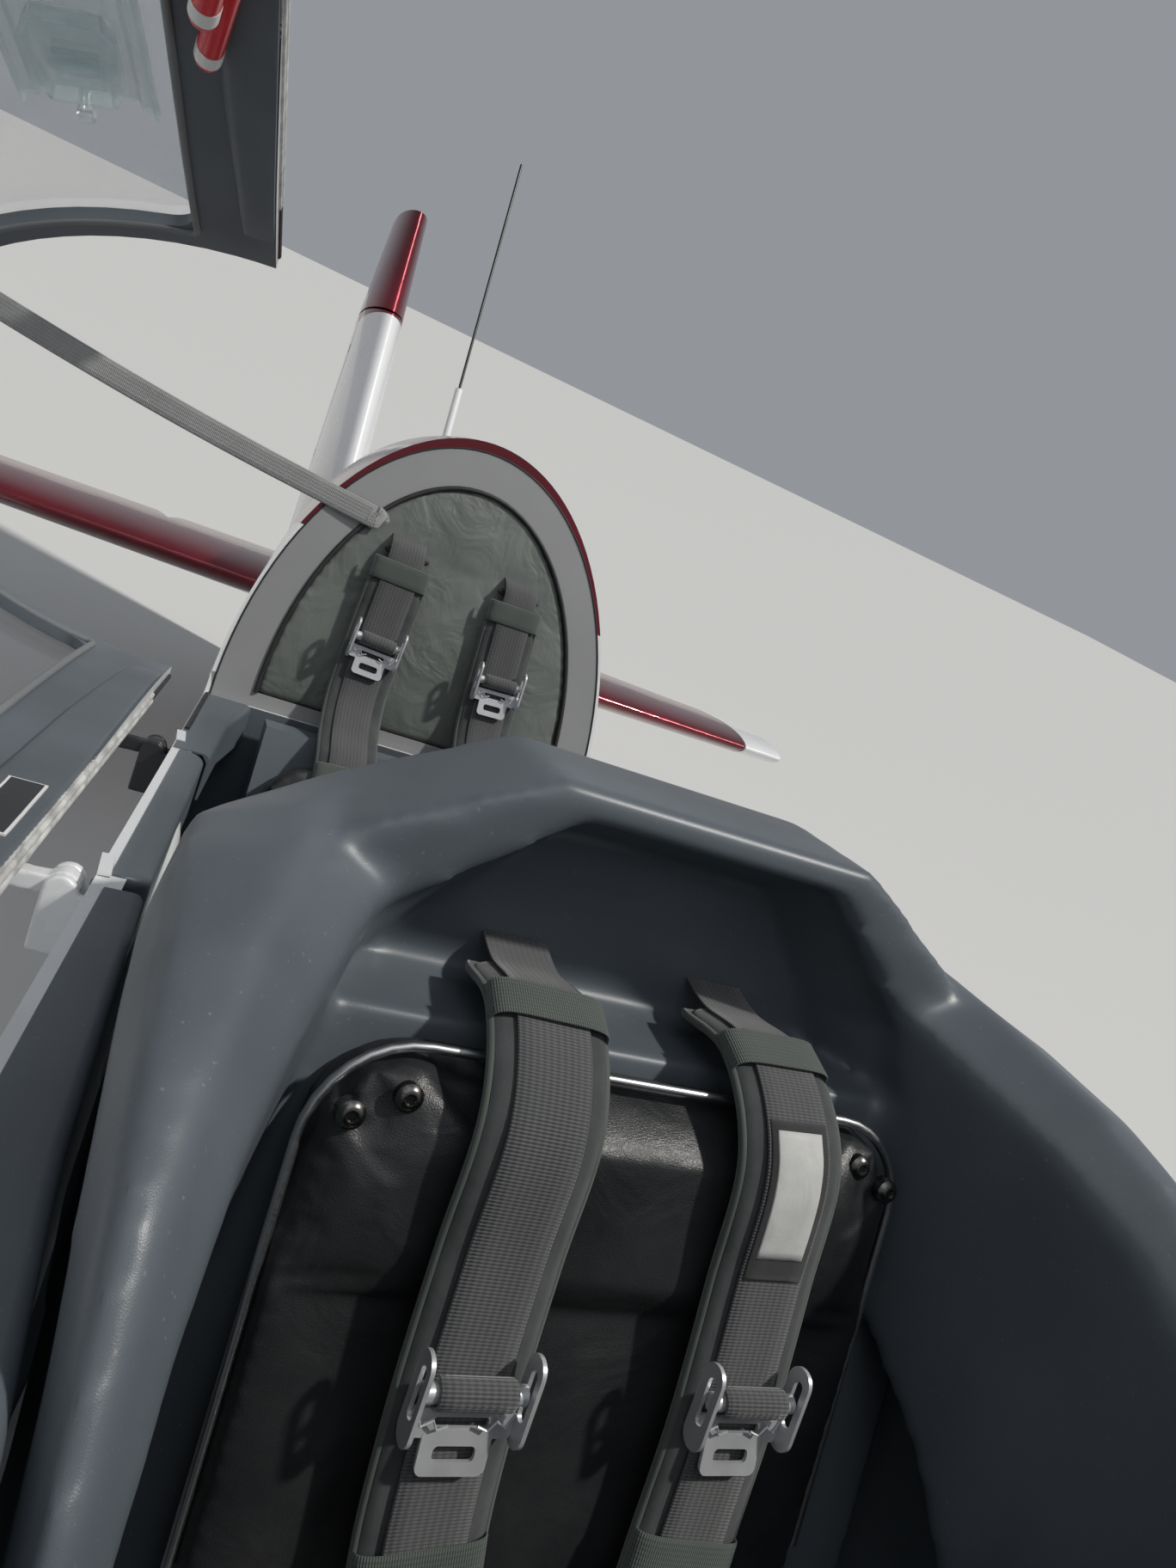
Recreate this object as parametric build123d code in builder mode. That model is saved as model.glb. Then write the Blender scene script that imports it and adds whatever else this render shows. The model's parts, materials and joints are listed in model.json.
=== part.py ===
from build123d import *
from math import asin, atan2, cos, degrees, hypot, radians, sin, sqrt, tan
import os

# Aerobatic two-seat low-wing monoplane, parked with its canopy swung open to starboard.
# It is drawn level: x to port, y aft from the spinner's tip, z up from the thrust line.
# The last section turns every piece nose-up onto its wheels, about the box's bottom centre.

# Overall sizes
SPAN = 8000
PROPELLER_DIAMETER = 2000
SKIN_GAP = 0.3
RUNNING_GAP = 6

# Fuselage lines
FIREWALL = 1500
TAPER_START = 3200
COCKPIT_END = 4200
TURTLEDECK_END = 5500
TAIL_END = 6320
FIREWALL_HALF_WIDTH = 372
FIREWALL_BOTTOM = -520
DEEPEST = 2400
BELLY_DEEP = -560
COCKPIT_HALF_WIDTH = 385
TAPER = 0.1025
SILL = 170
COWL_CROWN = 240
BELLY = -545
BELLY_RISE = 0.124
WALL = 20
DECK_END = 2150
SILL_START = 2600
DECK_CROWN = 290

# Canopy and its joint with the turtledeck
CANOPY_BASE = SILL + 5
CANOPY_END = 4201
CANOPY_GAP = 5
RAKE = 7
CANOPY_WALL = 18
GLASS_WALL = 5
RAIL_HEIGHT = 95
ARCH_WIDTH = 52
WINDSHIELD_BAND = 35
WINDOW_CORNER = 40
HINGE_OUTBOARD = 20
HINGE_HEIGHT = 150
OPEN_ANGLE = 93
HINGE_ARM_STATIONS = (2790, 3540, 3950)

# Flying surfaces
WING_HEIGHT = -330
WING_DIHEDRAL = 1.5
WING_ROOT_CHORD = 1800
WING_ROOT_STATION = 1700
WING_TIP_CHORD = 830
WING_TIP_STATION = 2000
AILERON_HINGE = 0.74
AILERON_START = 620
AILERON_TIP_MARGIN = 100
STAB_SPAN = 3200
STAB_HEIGHT = 186
STAB_ROOT_STATION = 5560
STAB_SWEEP = 0.097
ELEVATOR_HINGE = 6200
ELEVATOR_ROOT_END = 6600
ELEVATOR_TIP_END = 6480
ELEVATOR_START = 80
ELEVATOR_HORN = 150
RUDDER_HINGE = 6350
FIN_TOP = 1015
RUDDER_TOP = 1330
RUDDER_BOTTOM = -120
RUDDER_NOSE = 60

# Running gear
MAIN_TRACK = 1800
MAIN_AXLE_STATION = 1700
MAIN_AXLE_HEIGHT = -1125
MAIN_TYRE_RADIUS = 175
MAIN_TYRE_WIDTH = 125
RIM_RADIUS = 70
TAIL_AXLE_STATION = 6400
TAIL_AXLE_HEIGHT = -305
TAIL_WHEEL_RADIUS = 75
TAIL_WHEEL_WIDTH = 50

# Power plant
SPINNER_LENGTH = 330
SPINNER_RADIUS = 195
PROPELLER_STATION = 250
BLADE_ROOT_RADIUS = 46
HUB_RADIUS = 72
HUB_BACK = SPINNER_LENGTH - PROPELLER_STATION
HUB_LENGTH = 150
COWL_FRONT = 345
COWL_WALL = 8

# Interior
FLOOR = -440
SHELL_WALL = 14
RING_TOP = 613
RING_WIDTH = 62
RING_DEPTH = 12


def half_width(station):
    """Half the fuselage's width at its sill, aft of the widest part."""
    return COCKPIT_HALF_WIDTH - TAPER * max(0, station - TAPER_START)


def belly(station):
    """Height of the fuselage's bottom line, aft of the firewall."""
    if station < DEEPEST:
        share = (station - FIREWALL) / (DEEPEST - FIREWALL)
        return FIREWALL_BOTTOM + share * (BELLY_DEEP - FIREWALL_BOTTOM)
    if station < TAPER_START:
        share = (station - DEEPEST) / (TAPER_START - DEEPEST)
        return BELLY_DEEP + share * (BELLY - BELLY_DEEP)
    return BELLY + BELLY_RISE * (station - TAPER_START)


def frame_at(station):
    """Upright plane across the fuselage, x to port and y up."""
    return Plane(origin=(0, station, 0), x_dir=(1, 0, 0), z_dir=(0, -1, 0))


def rib_at(x, station, height):
    """Plane of a wing rib, x aft and y up."""
    return Plane(origin=(x, station, height), x_dir=(0, 1, 0), z_dir=(1, 0, 0))


def level_at(station, height):
    """Plane of a fin rib, x aft and y to starboard."""
    return Plane(origin=(0, station, height), x_dir=(0, 1, 0), z_dir=(0, 0, 1))


def dome(half, shoulder, crown):
    """Half ellipse over a straight base."""
    with BuildSketch() as outline:
        with BuildLine():
            arch = EllipticalCenterArc((0, shoulder), half, crown - shoulder, 0, arc_size=180)
            Line(arch @ 1, arch @ 0)
        make_face()
    return outline.sketch


def hull(half, shoulder, crown, bottom, corner):
    """Whole fuselage frame: an arch, straight sides and a round-cornered bottom."""
    with BuildSketch() as outline:
        with BuildLine():
            arch = EllipticalCenterArc((0, shoulder), half, crown - shoulder, 0, arc_size=180)
            Line(arch @ 1, (-half, bottom + corner))
            turn = CenterArc((-half + corner, bottom + corner), corner, 180, 90)
            Line(turn @ 1, (half - corner, bottom))
            last = CenterArc((half - corner, bottom + corner), corner, 270, 90)
            Line(last @ 1, arch @ 0)
        make_face()
    return outline.sketch


def trough(half, top, bottom, corner):
    """Lower fuselage frame: straight sides and a round-cornered bottom."""
    with BuildSketch() as outline:
        with BuildLine():
            side = Line((-half, top), (-half, bottom + corner))
            turn = CenterArc((-half + corner, bottom + corner), corner, 180, 90)
            Line(turn @ 1, (half - corner, bottom))
            last = CenterArc((half - corner, bottom + corner), corner, 270, 90)
            Line(last @ 1, (half, top))
            Line((half, top), side @ 0)
        make_face()
    return outline.sketch


def foil(chord, thickness, edge=4):
    """Symmetric aerofoil from the leading edge at the sketch's origin."""
    crest = 0.3 * chord
    with BuildSketch() as outline:
        with BuildLine():
            nose = EllipticalCenterArc((crest, 0), crest, thickness / 2, 90, arc_size=180)
            low = TangentArc(nose @ 1, (chord, -edge / 2), tangent=(1, 0))
            Line(low @ 1, (chord, edge / 2))
            TangentArc(nose @ 0, (chord, edge / 2), tangent=(1, 0))
        make_face()
    return outline.sketch


finished = {}


def finish(name, piece):
    """Name a finished piece and keep it for the last section."""
    piece.part.label = name
    finished[name] = piece.part


# Cowling: two shells that part at the thrust line, round a closed engine block
# station, half width, shoulder, crown, bottom, corner
COWL_FRAMES = (
    (COWL_FRONT, 290, -20, 180, -270, 150),
    (620, 425, -40, 225, -420, 200),
    (1050, 440, -40, COWL_CROWN, -500, 200),
    (FIREWALL, FIREWALL_HALF_WIDTH, 0, COWL_CROWN, FIREWALL_BOTTOM, 150),
)
COWL_SPLIT = -30
INLET_WIDTH = 200
INLET_HEIGHT = 110
INLET_OFFSET = 175
OUTLET_STATION = 1330

with BuildPart() as cowl_outer:
    for station, half, shoulder, crown, bottom, corner in COWL_FRAMES:
        with BuildSketch(frame_at(station)):
            add(hull(half, shoulder, crown, bottom, corner))
    loft()

with BuildPart() as cowl_inner:
    for station, half, shoulder, crown, bottom, corner in COWL_FRAMES:
        front = COWL_WALL if station == COWL_FRONT else 0
        with BuildSketch(frame_at(station + front)):
            add(hull(
                half - COWL_WALL, shoulder, crown - COWL_WALL,
                bottom + COWL_WALL, corner - COWL_WALL,
            ))
    loft()

with BuildPart() as cowling:
    add(cowl_outer.part)
    add(cowl_inner.part, mode=Mode.SUBTRACT)
    with BuildSketch(frame_at(COWL_FRONT + 60)):
        with Locations((INLET_OFFSET, 0), (-INLET_OFFSET, 0)):
            SlotOverall(INLET_WIDTH, INLET_HEIGHT)
        Circle(100)
    extrude(amount=120, mode=Mode.SUBTRACT)
    with BuildSketch(Plane.XY.offset(-600)):
        with Locations((0, OUTLET_STATION)):
            Rectangle(360, 200)
    extrude(amount=180, mode=Mode.SUBTRACT)

for name, keep in (("cowl_upper", Keep.TOP), ("cowl_lower", Keep.BOTTOM)):
    with BuildPart() as cowl_half:
        add(cowling.part)
        split(bisect_by=Plane.XY.offset(COWL_SPLIT), keep=keep)
    finish(name, cowl_half)

ENGINE_FRONT = 560
ENGINE_REAR = 1300
ENGINE_WIDTH = 700
ENGINE_BOTTOM = -290
ENGINE_TOP = 20
SHAFT_RADIUS = 80
with BuildPart() as engine_block:
    with BuildSketch(Plane.XY.offset(ENGINE_BOTTOM)):
        with Locations((0, (ENGINE_FRONT + ENGINE_REAR) / 2)):
            Rectangle(ENGINE_WIDTH, ENGINE_REAR - ENGINE_FRONT)
    extrude(amount=ENGINE_TOP - ENGINE_BOTTOM)
    with BuildSketch(frame_at(ENGINE_FRONT + 1)):
        Circle(SHAFT_RADIUS)
    extrude(amount=ENGINE_FRONT + 1 - SPINNER_LENGTH - RUNNING_GAP)
    with BuildSketch(frame_at(SPINNER_LENGTH + RUNNING_GAP + 1)):
        Circle(HUB_RADIUS - 12)
    extrude(amount=RUNNING_GAP + 1 + SPINNER_LENGTH - PROPELLER_STATION - HUB_BACK - SKIN_GAP)
    with BuildSketch(frame_at(FIREWALL)):
        with Locations((0, -120)):
            Rectangle(320, 160)
    extrude(amount=FIREWALL - ENGINE_REAR + 1)
finish("engine_block", engine_block)

with BuildPart() as exhaust_pipes:
    for side in (1, -1):
        path_points = ((side * 120, 1100, ENGINE_BOTTOM - 30), (side * 120, 1250, -420), (side * 120, 1450, -600))
        with BuildLine() as pipe_path:
            FilletPolyline(*path_points, radius=120)
        with BuildSketch(Plane(origin=pipe_path.line @ 0, z_dir=pipe_path.line % 0)):
            Circle(32)
            Circle(29, mode=Mode.SUBTRACT)
        sweep(path=pipe_path.line)
        with BuildSketch(Plane.XY.offset(ENGINE_BOTTOM)):
            with Locations((side * 120, 1090)):
                Circle(40)
        extrude(amount=-34)
finish("exhaust_pipes", exhaust_pipes)

# Spinner and three wide blades on a hub that stands on the engine's shaft
SPINNER_WALL = 4
BACKPLATE = 6


def ogive(radius, tip):
    """Half section of the spinner's nose, from its tip to the backplate."""
    with BuildSketch() as outline:
        with BuildLine():
            nose = TangentArc((radius, SPINNER_LENGTH), (0, tip), tangent=(0, -1))
            Polyline(nose @ 1, (0, SPINNER_LENGTH), nose @ 0)
        make_face()
    return outline.sketch


with BuildPart() as spinner_hollow:
    with BuildSketch(Plane.XY):
        add(ogive(SPINNER_RADIUS - SPINNER_WALL, SPINNER_WALL))
    revolve(axis=Axis.Y)
    split(bisect_by=frame_at(SPINNER_LENGTH - BACKPLATE), keep=Keep.TOP)

with BuildPart() as spinner:
    with BuildSketch(Plane.XY):
        add(ogive(SPINNER_RADIUS, 0))
    revolve(axis=Axis.Y)
    add(spinner_hollow.part, mode=Mode.SUBTRACT)
    with BuildSketch(frame_at(SPINNER_LENGTH + 1)):
        Circle(HUB_RADIUS + SKIN_GAP)
    extrude(amount=BACKPLATE + 2, mode=Mode.SUBTRACT)
    for turn in (0, 120, 240):
        blade_plane = Plane(
            origin=(0, PROPELLER_STATION, 0),
            z_dir=(sin(radians(turn)), 0, cos(radians(turn))),
        )
        with BuildSketch(blade_plane.offset(SPINNER_RADIUS / 2)):
            Circle(BLADE_ROOT_RADIUS + 4)
        extrude(amount=SPINNER_RADIUS, mode=Mode.SUBTRACT)
finish("spinner", spinner)

# radius, chord, thickness, pitch
BLADE_SECTIONS = (
    (200, 91, 90, 62),
    (320, 165, 44, 48),
    (550, 205, 26, 34),
    (850, 165, 16, 25),
    (PROPELLER_DIAMETER / 2, 70, 8, 21),
)
with BuildPart() as propeller_blades:
    with BuildSketch(frame_at(PROPELLER_STATION + HUB_BACK)):
        Circle(HUB_RADIUS)
    extrude(amount=HUB_LENGTH)
    for turn in (0, 120, 240):
        outward = (sin(radians(turn)), 0, cos(radians(turn)))
        with BuildSketch(Plane(origin=(0, PROPELLER_STATION, 0), z_dir=outward)):
            Circle(BLADE_ROOT_RADIUS)
        extrude(amount=202)
        for radius, chord, thickness, pitch in BLADE_SECTIONS:
            origin = (radius * outward[0], PROPELLER_STATION, radius * outward[2])
            across = (
                cos(radians(turn)) * cos(radians(pitch)),
                sin(radians(pitch)),
                -sin(radians(turn)) * cos(radians(pitch)),
            )
            with BuildSketch(Plane(origin=origin, x_dir=across, z_dir=outward)):
                Ellipse(chord / 2, thickness / 2)
        loft()
finish("propeller_blades", propeller_blades)

# Lower fuselage shell round the two cockpits
# station, half width, top, bottom, corner
TUB_FRAMES = (
    (FIREWALL, FIREWALL_HALF_WIDTH, SILL, FIREWALL_BOTTOM, 150),
    (DEEPEST, COCKPIT_HALF_WIDTH, SILL, BELLY_DEEP, 140),
    (TAPER_START, COCKPIT_HALF_WIDTH, SILL, BELLY, 130),
    (COCKPIT_END, half_width(COCKPIT_END), SILL, belly(COCKPIT_END), 110),
)
with BuildPart() as tub_outer:
    for station, half, top, bottom, corner in TUB_FRAMES:
        with BuildSketch(frame_at(station)):
            add(trough(half, top, bottom, corner))
    loft(ruled=True)

with BuildPart() as tub_inner:
    for station, half, top, bottom, corner in TUB_FRAMES:
        with BuildSketch(frame_at(station)):
            add(trough(half - WALL, top + 1, bottom + WALL, corner - WALL))
    loft(ruled=True)

DECK_SLOPE = Plane(
    origin=(0, SILL_START, SILL),
    x_dir=(1, 0, 0),
    z_dir=(0, -SILL, SILL_START - FIREWALL),
)
BELLY_SPLIT = -470
with BuildPart() as tub:
    add(tub_outer.part)
    add(tub_inner.part, mode=Mode.SUBTRACT)
    split(bisect_by=DECK_SLOPE, keep=Keep.BOTTOM)

with BuildPart() as belly_panel:
    add(tub.part)
    split(bisect_by=Plane.XY.offset(BELLY_SPLIT), keep=Keep.BOTTOM)
finish("belly_panel", belly_panel)

for name, keep in (("side_shell_left", Keep.TOP), ("side_shell_right", Keep.BOTTOM)):
    with BuildPart() as side_shell:
        add(tub.part)
        split(bisect_by=Plane.XY.offset(BELLY_SPLIT), keep=Keep.TOP)
        split(bisect_by=Plane.YZ, keep=keep)
    finish(name, side_shell)

with BuildPart() as firewall:
    with BuildSketch(frame_at(FIREWALL + 4)):
        add(hull(
            FIREWALL_HALF_WIDTH - WALL - 1, 0, COWL_CROWN - WALL - 1,
            FIREWALL_BOTTOM + WALL + 1, 150 - WALL,
        ))
    extrude(amount=4)
finish("firewall", firewall)

FLOOR_THICKNESS = 10
FLOOR_END = 3780
FLOOR_END_HALF = 255
floor_edge = []
for station, half, top, bottom, corner in TUB_FRAMES[:-1]:
    turn = corner - WALL
    drop = bottom + corner - FLOOR
    floor_edge.append((half - WALL - turn + sqrt(turn ** 2 - drop ** 2) - SKIN_GAP, station))
floor_edge[0] = (floor_edge[0][0], FIREWALL + SHELL_WALL)
floor_edge.append((FLOOR_END_HALF, FLOOR_END))
with BuildPart() as cockpit_floor:
    with BuildSketch(Plane.XY.offset(FLOOR)):
        with BuildLine():
            Polyline(*floor_edge, *[(-x, y) for x, y in reversed(floor_edge)], close=True)
        make_face()
    extrude(amount=FLOOR_THICKNESS)
finish("cockpit_floor", cockpit_floor)

# Upper dome: front deck and canopy share one family of frames
# station, half width, shoulder, crown
DOME_FRAMES = (
    (DECK_END, 379, 100, DECK_CROWN),
    (SILL_START, COCKPIT_HALF_WIDTH, SILL, 500),
    (TAPER_START, COCKPIT_HALF_WIDTH, SILL, 655),
    (3700, half_width(3700), SILL, 665),
    (4260, half_width(4260), SILL, 611),
)


def dome_loft(inset):
    """Draw the dome's frames, each drawn in by the inset, and loft them."""
    with BuildPart() as solid:
        for station, half, shoulder, crown in DOME_FRAMES:
            with BuildSketch(frame_at(station)):
                add(dome(half - inset, shoulder, crown - inset))
        loft()
    return solid.part


WINDSHIELD_FOOT = (DECK_CROWN - CANOPY_BASE) / (SILL_START - DECK_END)
WINDSHIELD_PLANE = Plane(
    origin=(0, SILL_START, CANOPY_BASE), x_dir=(1, 0, 0), z_dir=(0, WINDSHIELD_FOOT, 1)
)
DECK_PLANE = Plane(
    origin=(0, SILL_START, CANOPY_BASE - CANOPY_GAP), x_dir=(1, 0, 0), z_dir=(0, WINDSHIELD_FOOT, 1)
)
REAR_PLANE = Plane(
    origin=(0, CANOPY_END, CANOPY_BASE),
    x_dir=(1, 0, 0),
    z_dir=(0, cos(radians(RAKE)), -sin(radians(RAKE))),
)

dome_solid = dome_loft(0)
dome_hollow = dome_loft(WALL)

with BuildPart() as deck_fore:
    with BuildSketch(frame_at(FIREWALL)):
        add(dome(FIREWALL_HALF_WIDTH, 0, COWL_CROWN))
    with BuildSketch(frame_at(DECK_END)):
        add(dome(379, 100, DECK_CROWN))
    loft()
with BuildPart() as deck_fore_hollow:
    with BuildSketch(frame_at(FIREWALL)):
        add(dome(FIREWALL_HALF_WIDTH - WALL, 0, COWL_CROWN - WALL))
    with BuildSketch(frame_at(DECK_END)):
        add(dome(379 - WALL, 100, DECK_CROWN - WALL))
    loft()

with BuildPart() as front_deck:
    add(deck_fore.part)
    add(dome_solid)
    add(deck_fore_hollow.part, mode=Mode.SUBTRACT)
    add(dome_hollow, mode=Mode.SUBTRACT)
    split(bisect_by=DECK_PLANE, keep=Keep.BOTTOM)
    split(bisect_by=DECK_SLOPE, keep=Keep.TOP)
finish("front_deck", front_deck)

# Canopy: a moulded frame that carries one bubble of clear plastic


def window_prism(margin):
    """Side view of the window, grown by the margin, as a prism right across."""
    rail = CANOPY_BASE + RAIL_HEIGHT - margin
    band = (WINDSHIELD_BAND - margin) * sqrt(1 + WINDSHIELD_FOOT ** 2)
    arch = (ARCH_WIDTH - margin) / cos(radians(RAKE))
    front = DECK_END - 50
    top = 800

    def rear_at(height):
        return CANOPY_END + (height - CANOPY_BASE) * tan(radians(RAKE)) - arch

    def foot_at(station):
        return DECK_CROWN + band - WINDSHIELD_FOOT * (station - DECK_END)

    sill_front = DECK_END + (DECK_CROWN + band - rail) / WINDSHIELD_FOOT
    with BuildPart() as prism:
        with BuildSketch(Plane.YZ):
            with BuildLine():
                Polyline(
                    (front, foot_at(front)), (sill_front, rail), (rear_at(rail), rail),
                    (rear_at(top), top), (front, top), close=True,
                )
            make_face()
        extrude(amount=500, both=True)
        low = prism.edges().filter_by(Axis.X).group_by(Axis.Z)[0]
        fillet(low, WINDOW_CORNER)
    return prism.part


with BuildPart() as canopy_body:
    add(dome_solid)
    split(bisect_by=WINDSHIELD_PLANE, keep=Keep.TOP)
    split(bisect_by=Plane.XY.offset(CANOPY_BASE), keep=Keep.TOP)
    split(bisect_by=REAR_PLANE, keep=Keep.BOTTOM)

with BuildPart() as canopy_glass:
    add(canopy_body.part)
    add(dome_loft(GLASS_WALL), mode=Mode.SUBTRACT)
    add(window_prism(22), mode=Mode.INTERSECT)

with BuildPart() as canopy_frame:
    add(canopy_body.part)
    add(dome_loft(CANOPY_WALL), mode=Mode.SUBTRACT)
    add(window_prism(0), mode=Mode.SUBTRACT)
    add(canopy_glass.part, mode=Mode.SUBTRACT)

HINGE_SLOPE = TAPER
hinge_start = (-(half_width(TAPER_START) + HINGE_OUTBOARD), TAPER_START, HINGE_HEIGHT)
CANOPY_HINGE = Axis(hinge_start, (HINGE_SLOPE, 1, 0))


def hinge_x(station):
    """Where the canopy's hinge line passes a station."""
    return hinge_start[0] + HINGE_SLOPE * (station - TAPER_START)


PIN_RADIUS = 5
ARM_WIDTH = 16
ARM_THICKNESS = 14
LUG_WIDTH = 8
LUG_GAP = 1


def hinge_frame(station):
    """Plane square to the canopy's hinge line, x inboard and y up from the line."""
    return Plane(
        origin=(hinge_x(station), station, HINGE_HEIGHT),
        x_dir=(1, -HINGE_SLOPE, 0),
        z_dir=(-HINGE_SLOPE, -1, 0),
    )


def hinge_reach(station):
    """Distance from the hinge line in to the fuselage's side."""
    return -half_width(station) - hinge_x(station)


ARM_RISE = CANOPY_BASE - HINGE_HEIGHT + 22
LUG_RADIUS = 12
LUG_SINK = 8
with BuildPart() as canopy_hinge_arms:
    for station in HINGE_ARM_STATIONS:
        arm_reach = hinge_reach(station) + LUG_SINK
        with BuildSketch(hinge_frame(station).offset(-ARM_WIDTH / 2)):
            with Locations((0, ARM_RISE / 2)):
                Rectangle(ARM_THICKNESS, ARM_RISE + ARM_THICKNESS)
            with Locations((arm_reach / 2, ARM_RISE)):
                Rectangle(arm_reach, ARM_THICKNESS)
            Circle(LUG_RADIUS)
            Circle(PIN_RADIUS + SKIN_GAP, mode=Mode.SUBTRACT)
        extrude(amount=ARM_WIDTH)
    add(canopy_body.part, mode=Mode.SUBTRACT)

with BuildPart() as canopy_hinge_brackets:
    for station in HINGE_ARM_STATIONS:
        foot_width = LUG_RADIUS + hinge_reach(station) + LUG_SINK
        for start in (-ARM_WIDTH / 2 - LUG_GAP - LUG_WIDTH, ARM_WIDTH / 2 + LUG_GAP):
            with BuildSketch(hinge_frame(station).offset(start)):
                Circle(LUG_RADIUS)
                with Locations((foot_width / 2 - LUG_RADIUS, -2 * LUG_RADIUS)):
                    Rectangle(foot_width, 4 * LUG_RADIUS)
            extrude(amount=LUG_WIDTH)
        with BuildSketch(hinge_frame(station).offset(-ARM_WIDTH / 2 - LUG_GAP - LUG_WIDTH)):
            Circle(PIN_RADIUS)
        extrude(amount=ARM_WIDTH + 2 * LUG_GAP + 2 * LUG_WIDTH)
    add(tub_outer.part, mode=Mode.SUBTRACT)
finish("canopy_hinge_brackets", canopy_hinge_brackets)

LATCH_RADIUS = 15
LATCH_LENGTH = 150
LATCH_AIM = Vector(10, -88, -17)
LATCH_TIPS = (Vector(293, 3782, 233), Vector(264, 3697, 228))
LATCH_PIVOT = 11
with BuildPart() as canopy_latches:
    for tip in LATCH_TIPS:
        rod = Plane(origin=tip, z_dir=LATCH_AIM)
        with BuildSketch(rod):
            Circle(LATCH_RADIUS)
        extrude(amount=LATCH_LENGTH)
        with Locations(tip):
            Sphere(LATCH_RADIUS)
        pivot = tip + LATCH_AIM.normalized() * (LATCH_LENGTH - LATCH_PIVOT)
        with BuildSketch(rib_at(pivot.X, pivot.Y, pivot.Z)):
            Circle(LATCH_PIVOT)
        extrude(amount=half_width(pivot.Y) - CANOPY_WALL / 2 - pivot.X)
    add(canopy_frame.part, mode=Mode.SUBTRACT)

VENT_STATION = 3805
VENT_HEIGHT = 350
VENT_LENGTH = 250
VENT_DEPTH = 100
with BuildPart() as vent_panel:
    with BuildSketch(rib_at(0, VENT_STATION, VENT_HEIGHT)):
        RectangleRounded(VENT_LENGTH, VENT_DEPTH, 15)
    extrude(amount=500)
    add(dome_loft(GLASS_WALL), mode=Mode.INTERSECT)
    add(dome_loft(GLASS_WALL + 4), mode=Mode.SUBTRACT)

for name, piece in (
    ("canopy_frame", canopy_frame),
    ("canopy_glass", canopy_glass),
    ("canopy_hinge_arms", canopy_hinge_arms),
    ("canopy_latches", canopy_latches),
    ("vent_panel", vent_panel),
):
    piece.part = piece.part.rotate(CANOPY_HINGE, -OPEN_ANGLE)
    finish(name, piece)

# Rear fuselage: solid hull, then turtledeck, lower shell and tail cone cut from it
# station, crown, corner
AFT_FRAMES = (
    (COCKPIT_END, 616, 110),
    (4700, 618, 95),
    (TURTLEDECK_END, 520, 65),
    (TAIL_END, 385, 30),
)
with BuildPart() as aft_hull:
    for station, crown, corner in AFT_FRAMES:
        with BuildSketch(frame_at(station)):
            add(hull(half_width(station), SILL, crown, belly(station), corner))
    loft()

RING_PLANE = Plane(
    origin=(0, CANOPY_END + CANOPY_GAP, SILL),
    x_dir=(1, 0, 0),
    z_dir=(0, -cos(radians(RAKE)), sin(radians(RAKE))),
)
RING_HALF = half_width(CANOPY_END + CANOPY_GAP)
RING_CROWN = (RING_TOP - SILL) / cos(radians(RAKE))


def ring_arch(inset, base):
    """Arch of the turtledeck's front edge, drawn in by the inset, in the ring's own plane."""
    with BuildSketch() as outline:
        with BuildLine():
            arch = EllipticalCenterArc((0, base), RING_HALF - inset, RING_CROWN - inset - base, 0, arc_size=180)
            Line(arch @ 1, arch @ 0)
        make_face()
    return outline.sketch


with BuildPart() as turtledeck:
    add(aft_hull.part)
    split(bisect_by=Plane.XY.offset(SILL), keep=Keep.TOP)
    split(bisect_by=frame_at(TURTLEDECK_END), keep=Keep.TOP)
    split(bisect_by=RING_PLANE, keep=Keep.BOTTOM)
    with BuildSketch(RING_PLANE):
        add(ring_arch(8, 4))
    extrude(amount=-RING_DEPTH, mode=Mode.SUBTRACT)
    with BuildSketch(RING_PLANE):
        add(ring_arch(RING_WIDTH, 20))
    extrude(amount=-120, mode=Mode.SUBTRACT)
finish("turtledeck", turtledeck)

with BuildPart() as ring_frame:
    with BuildSketch(RING_PLANE.offset(-RING_DEPTH)):
        add(ring_arch(8, 4))
    extrude(amount=RING_DEPTH)
    with BuildSketch(RING_PLANE.offset(-RING_DEPTH)):
        add(ring_arch(RING_WIDTH, 20))
    extrude(amount=RING_DEPTH, mode=Mode.SUBTRACT)
finish("ring_frame", ring_frame)

with BuildPart() as rear_headrest:
    with BuildSketch(RING_PLANE.offset(-118)):
        add(ring_arch(RING_WIDTH + SKIN_GAP, 20 + SKIN_GAP))
    extrude(amount=118)
finish("rear_headrest", rear_headrest)

with BuildPart() as rear_fuselage:
    add(aft_hull.part)
    split(bisect_by=Plane.XY.offset(SILL), keep=Keep.BOTTOM)
    split(bisect_by=frame_at(TURTLEDECK_END), keep=Keep.TOP)
finish("rear_fuselage", rear_fuselage)

# Hinge fittings: a pin across a notch in the moving piece, held in an eye of the fixed one
NOTCH = 26
EYE_RADIUS = 14
EYE_WIDTH = 10


def notch(plane, nose):
    """Notch in the moving piece's nose."""
    with BuildPart() as solid:
        with BuildSketch(plane.offset(-NOTCH / 2)):
            with Locations((-nose / 2, 0)):
                Rectangle(nose + 46, 3 * nose)
        extrude(amount=NOTCH)
    return solid.part


def notch_pin(plane):
    """Pin across a notch."""
    with BuildPart() as solid:
        with BuildSketch(plane.offset(-NOTCH / 2 - 2)):
            Circle(PIN_RADIUS)
        extrude(amount=NOTCH + 4)
    return solid.part


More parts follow.
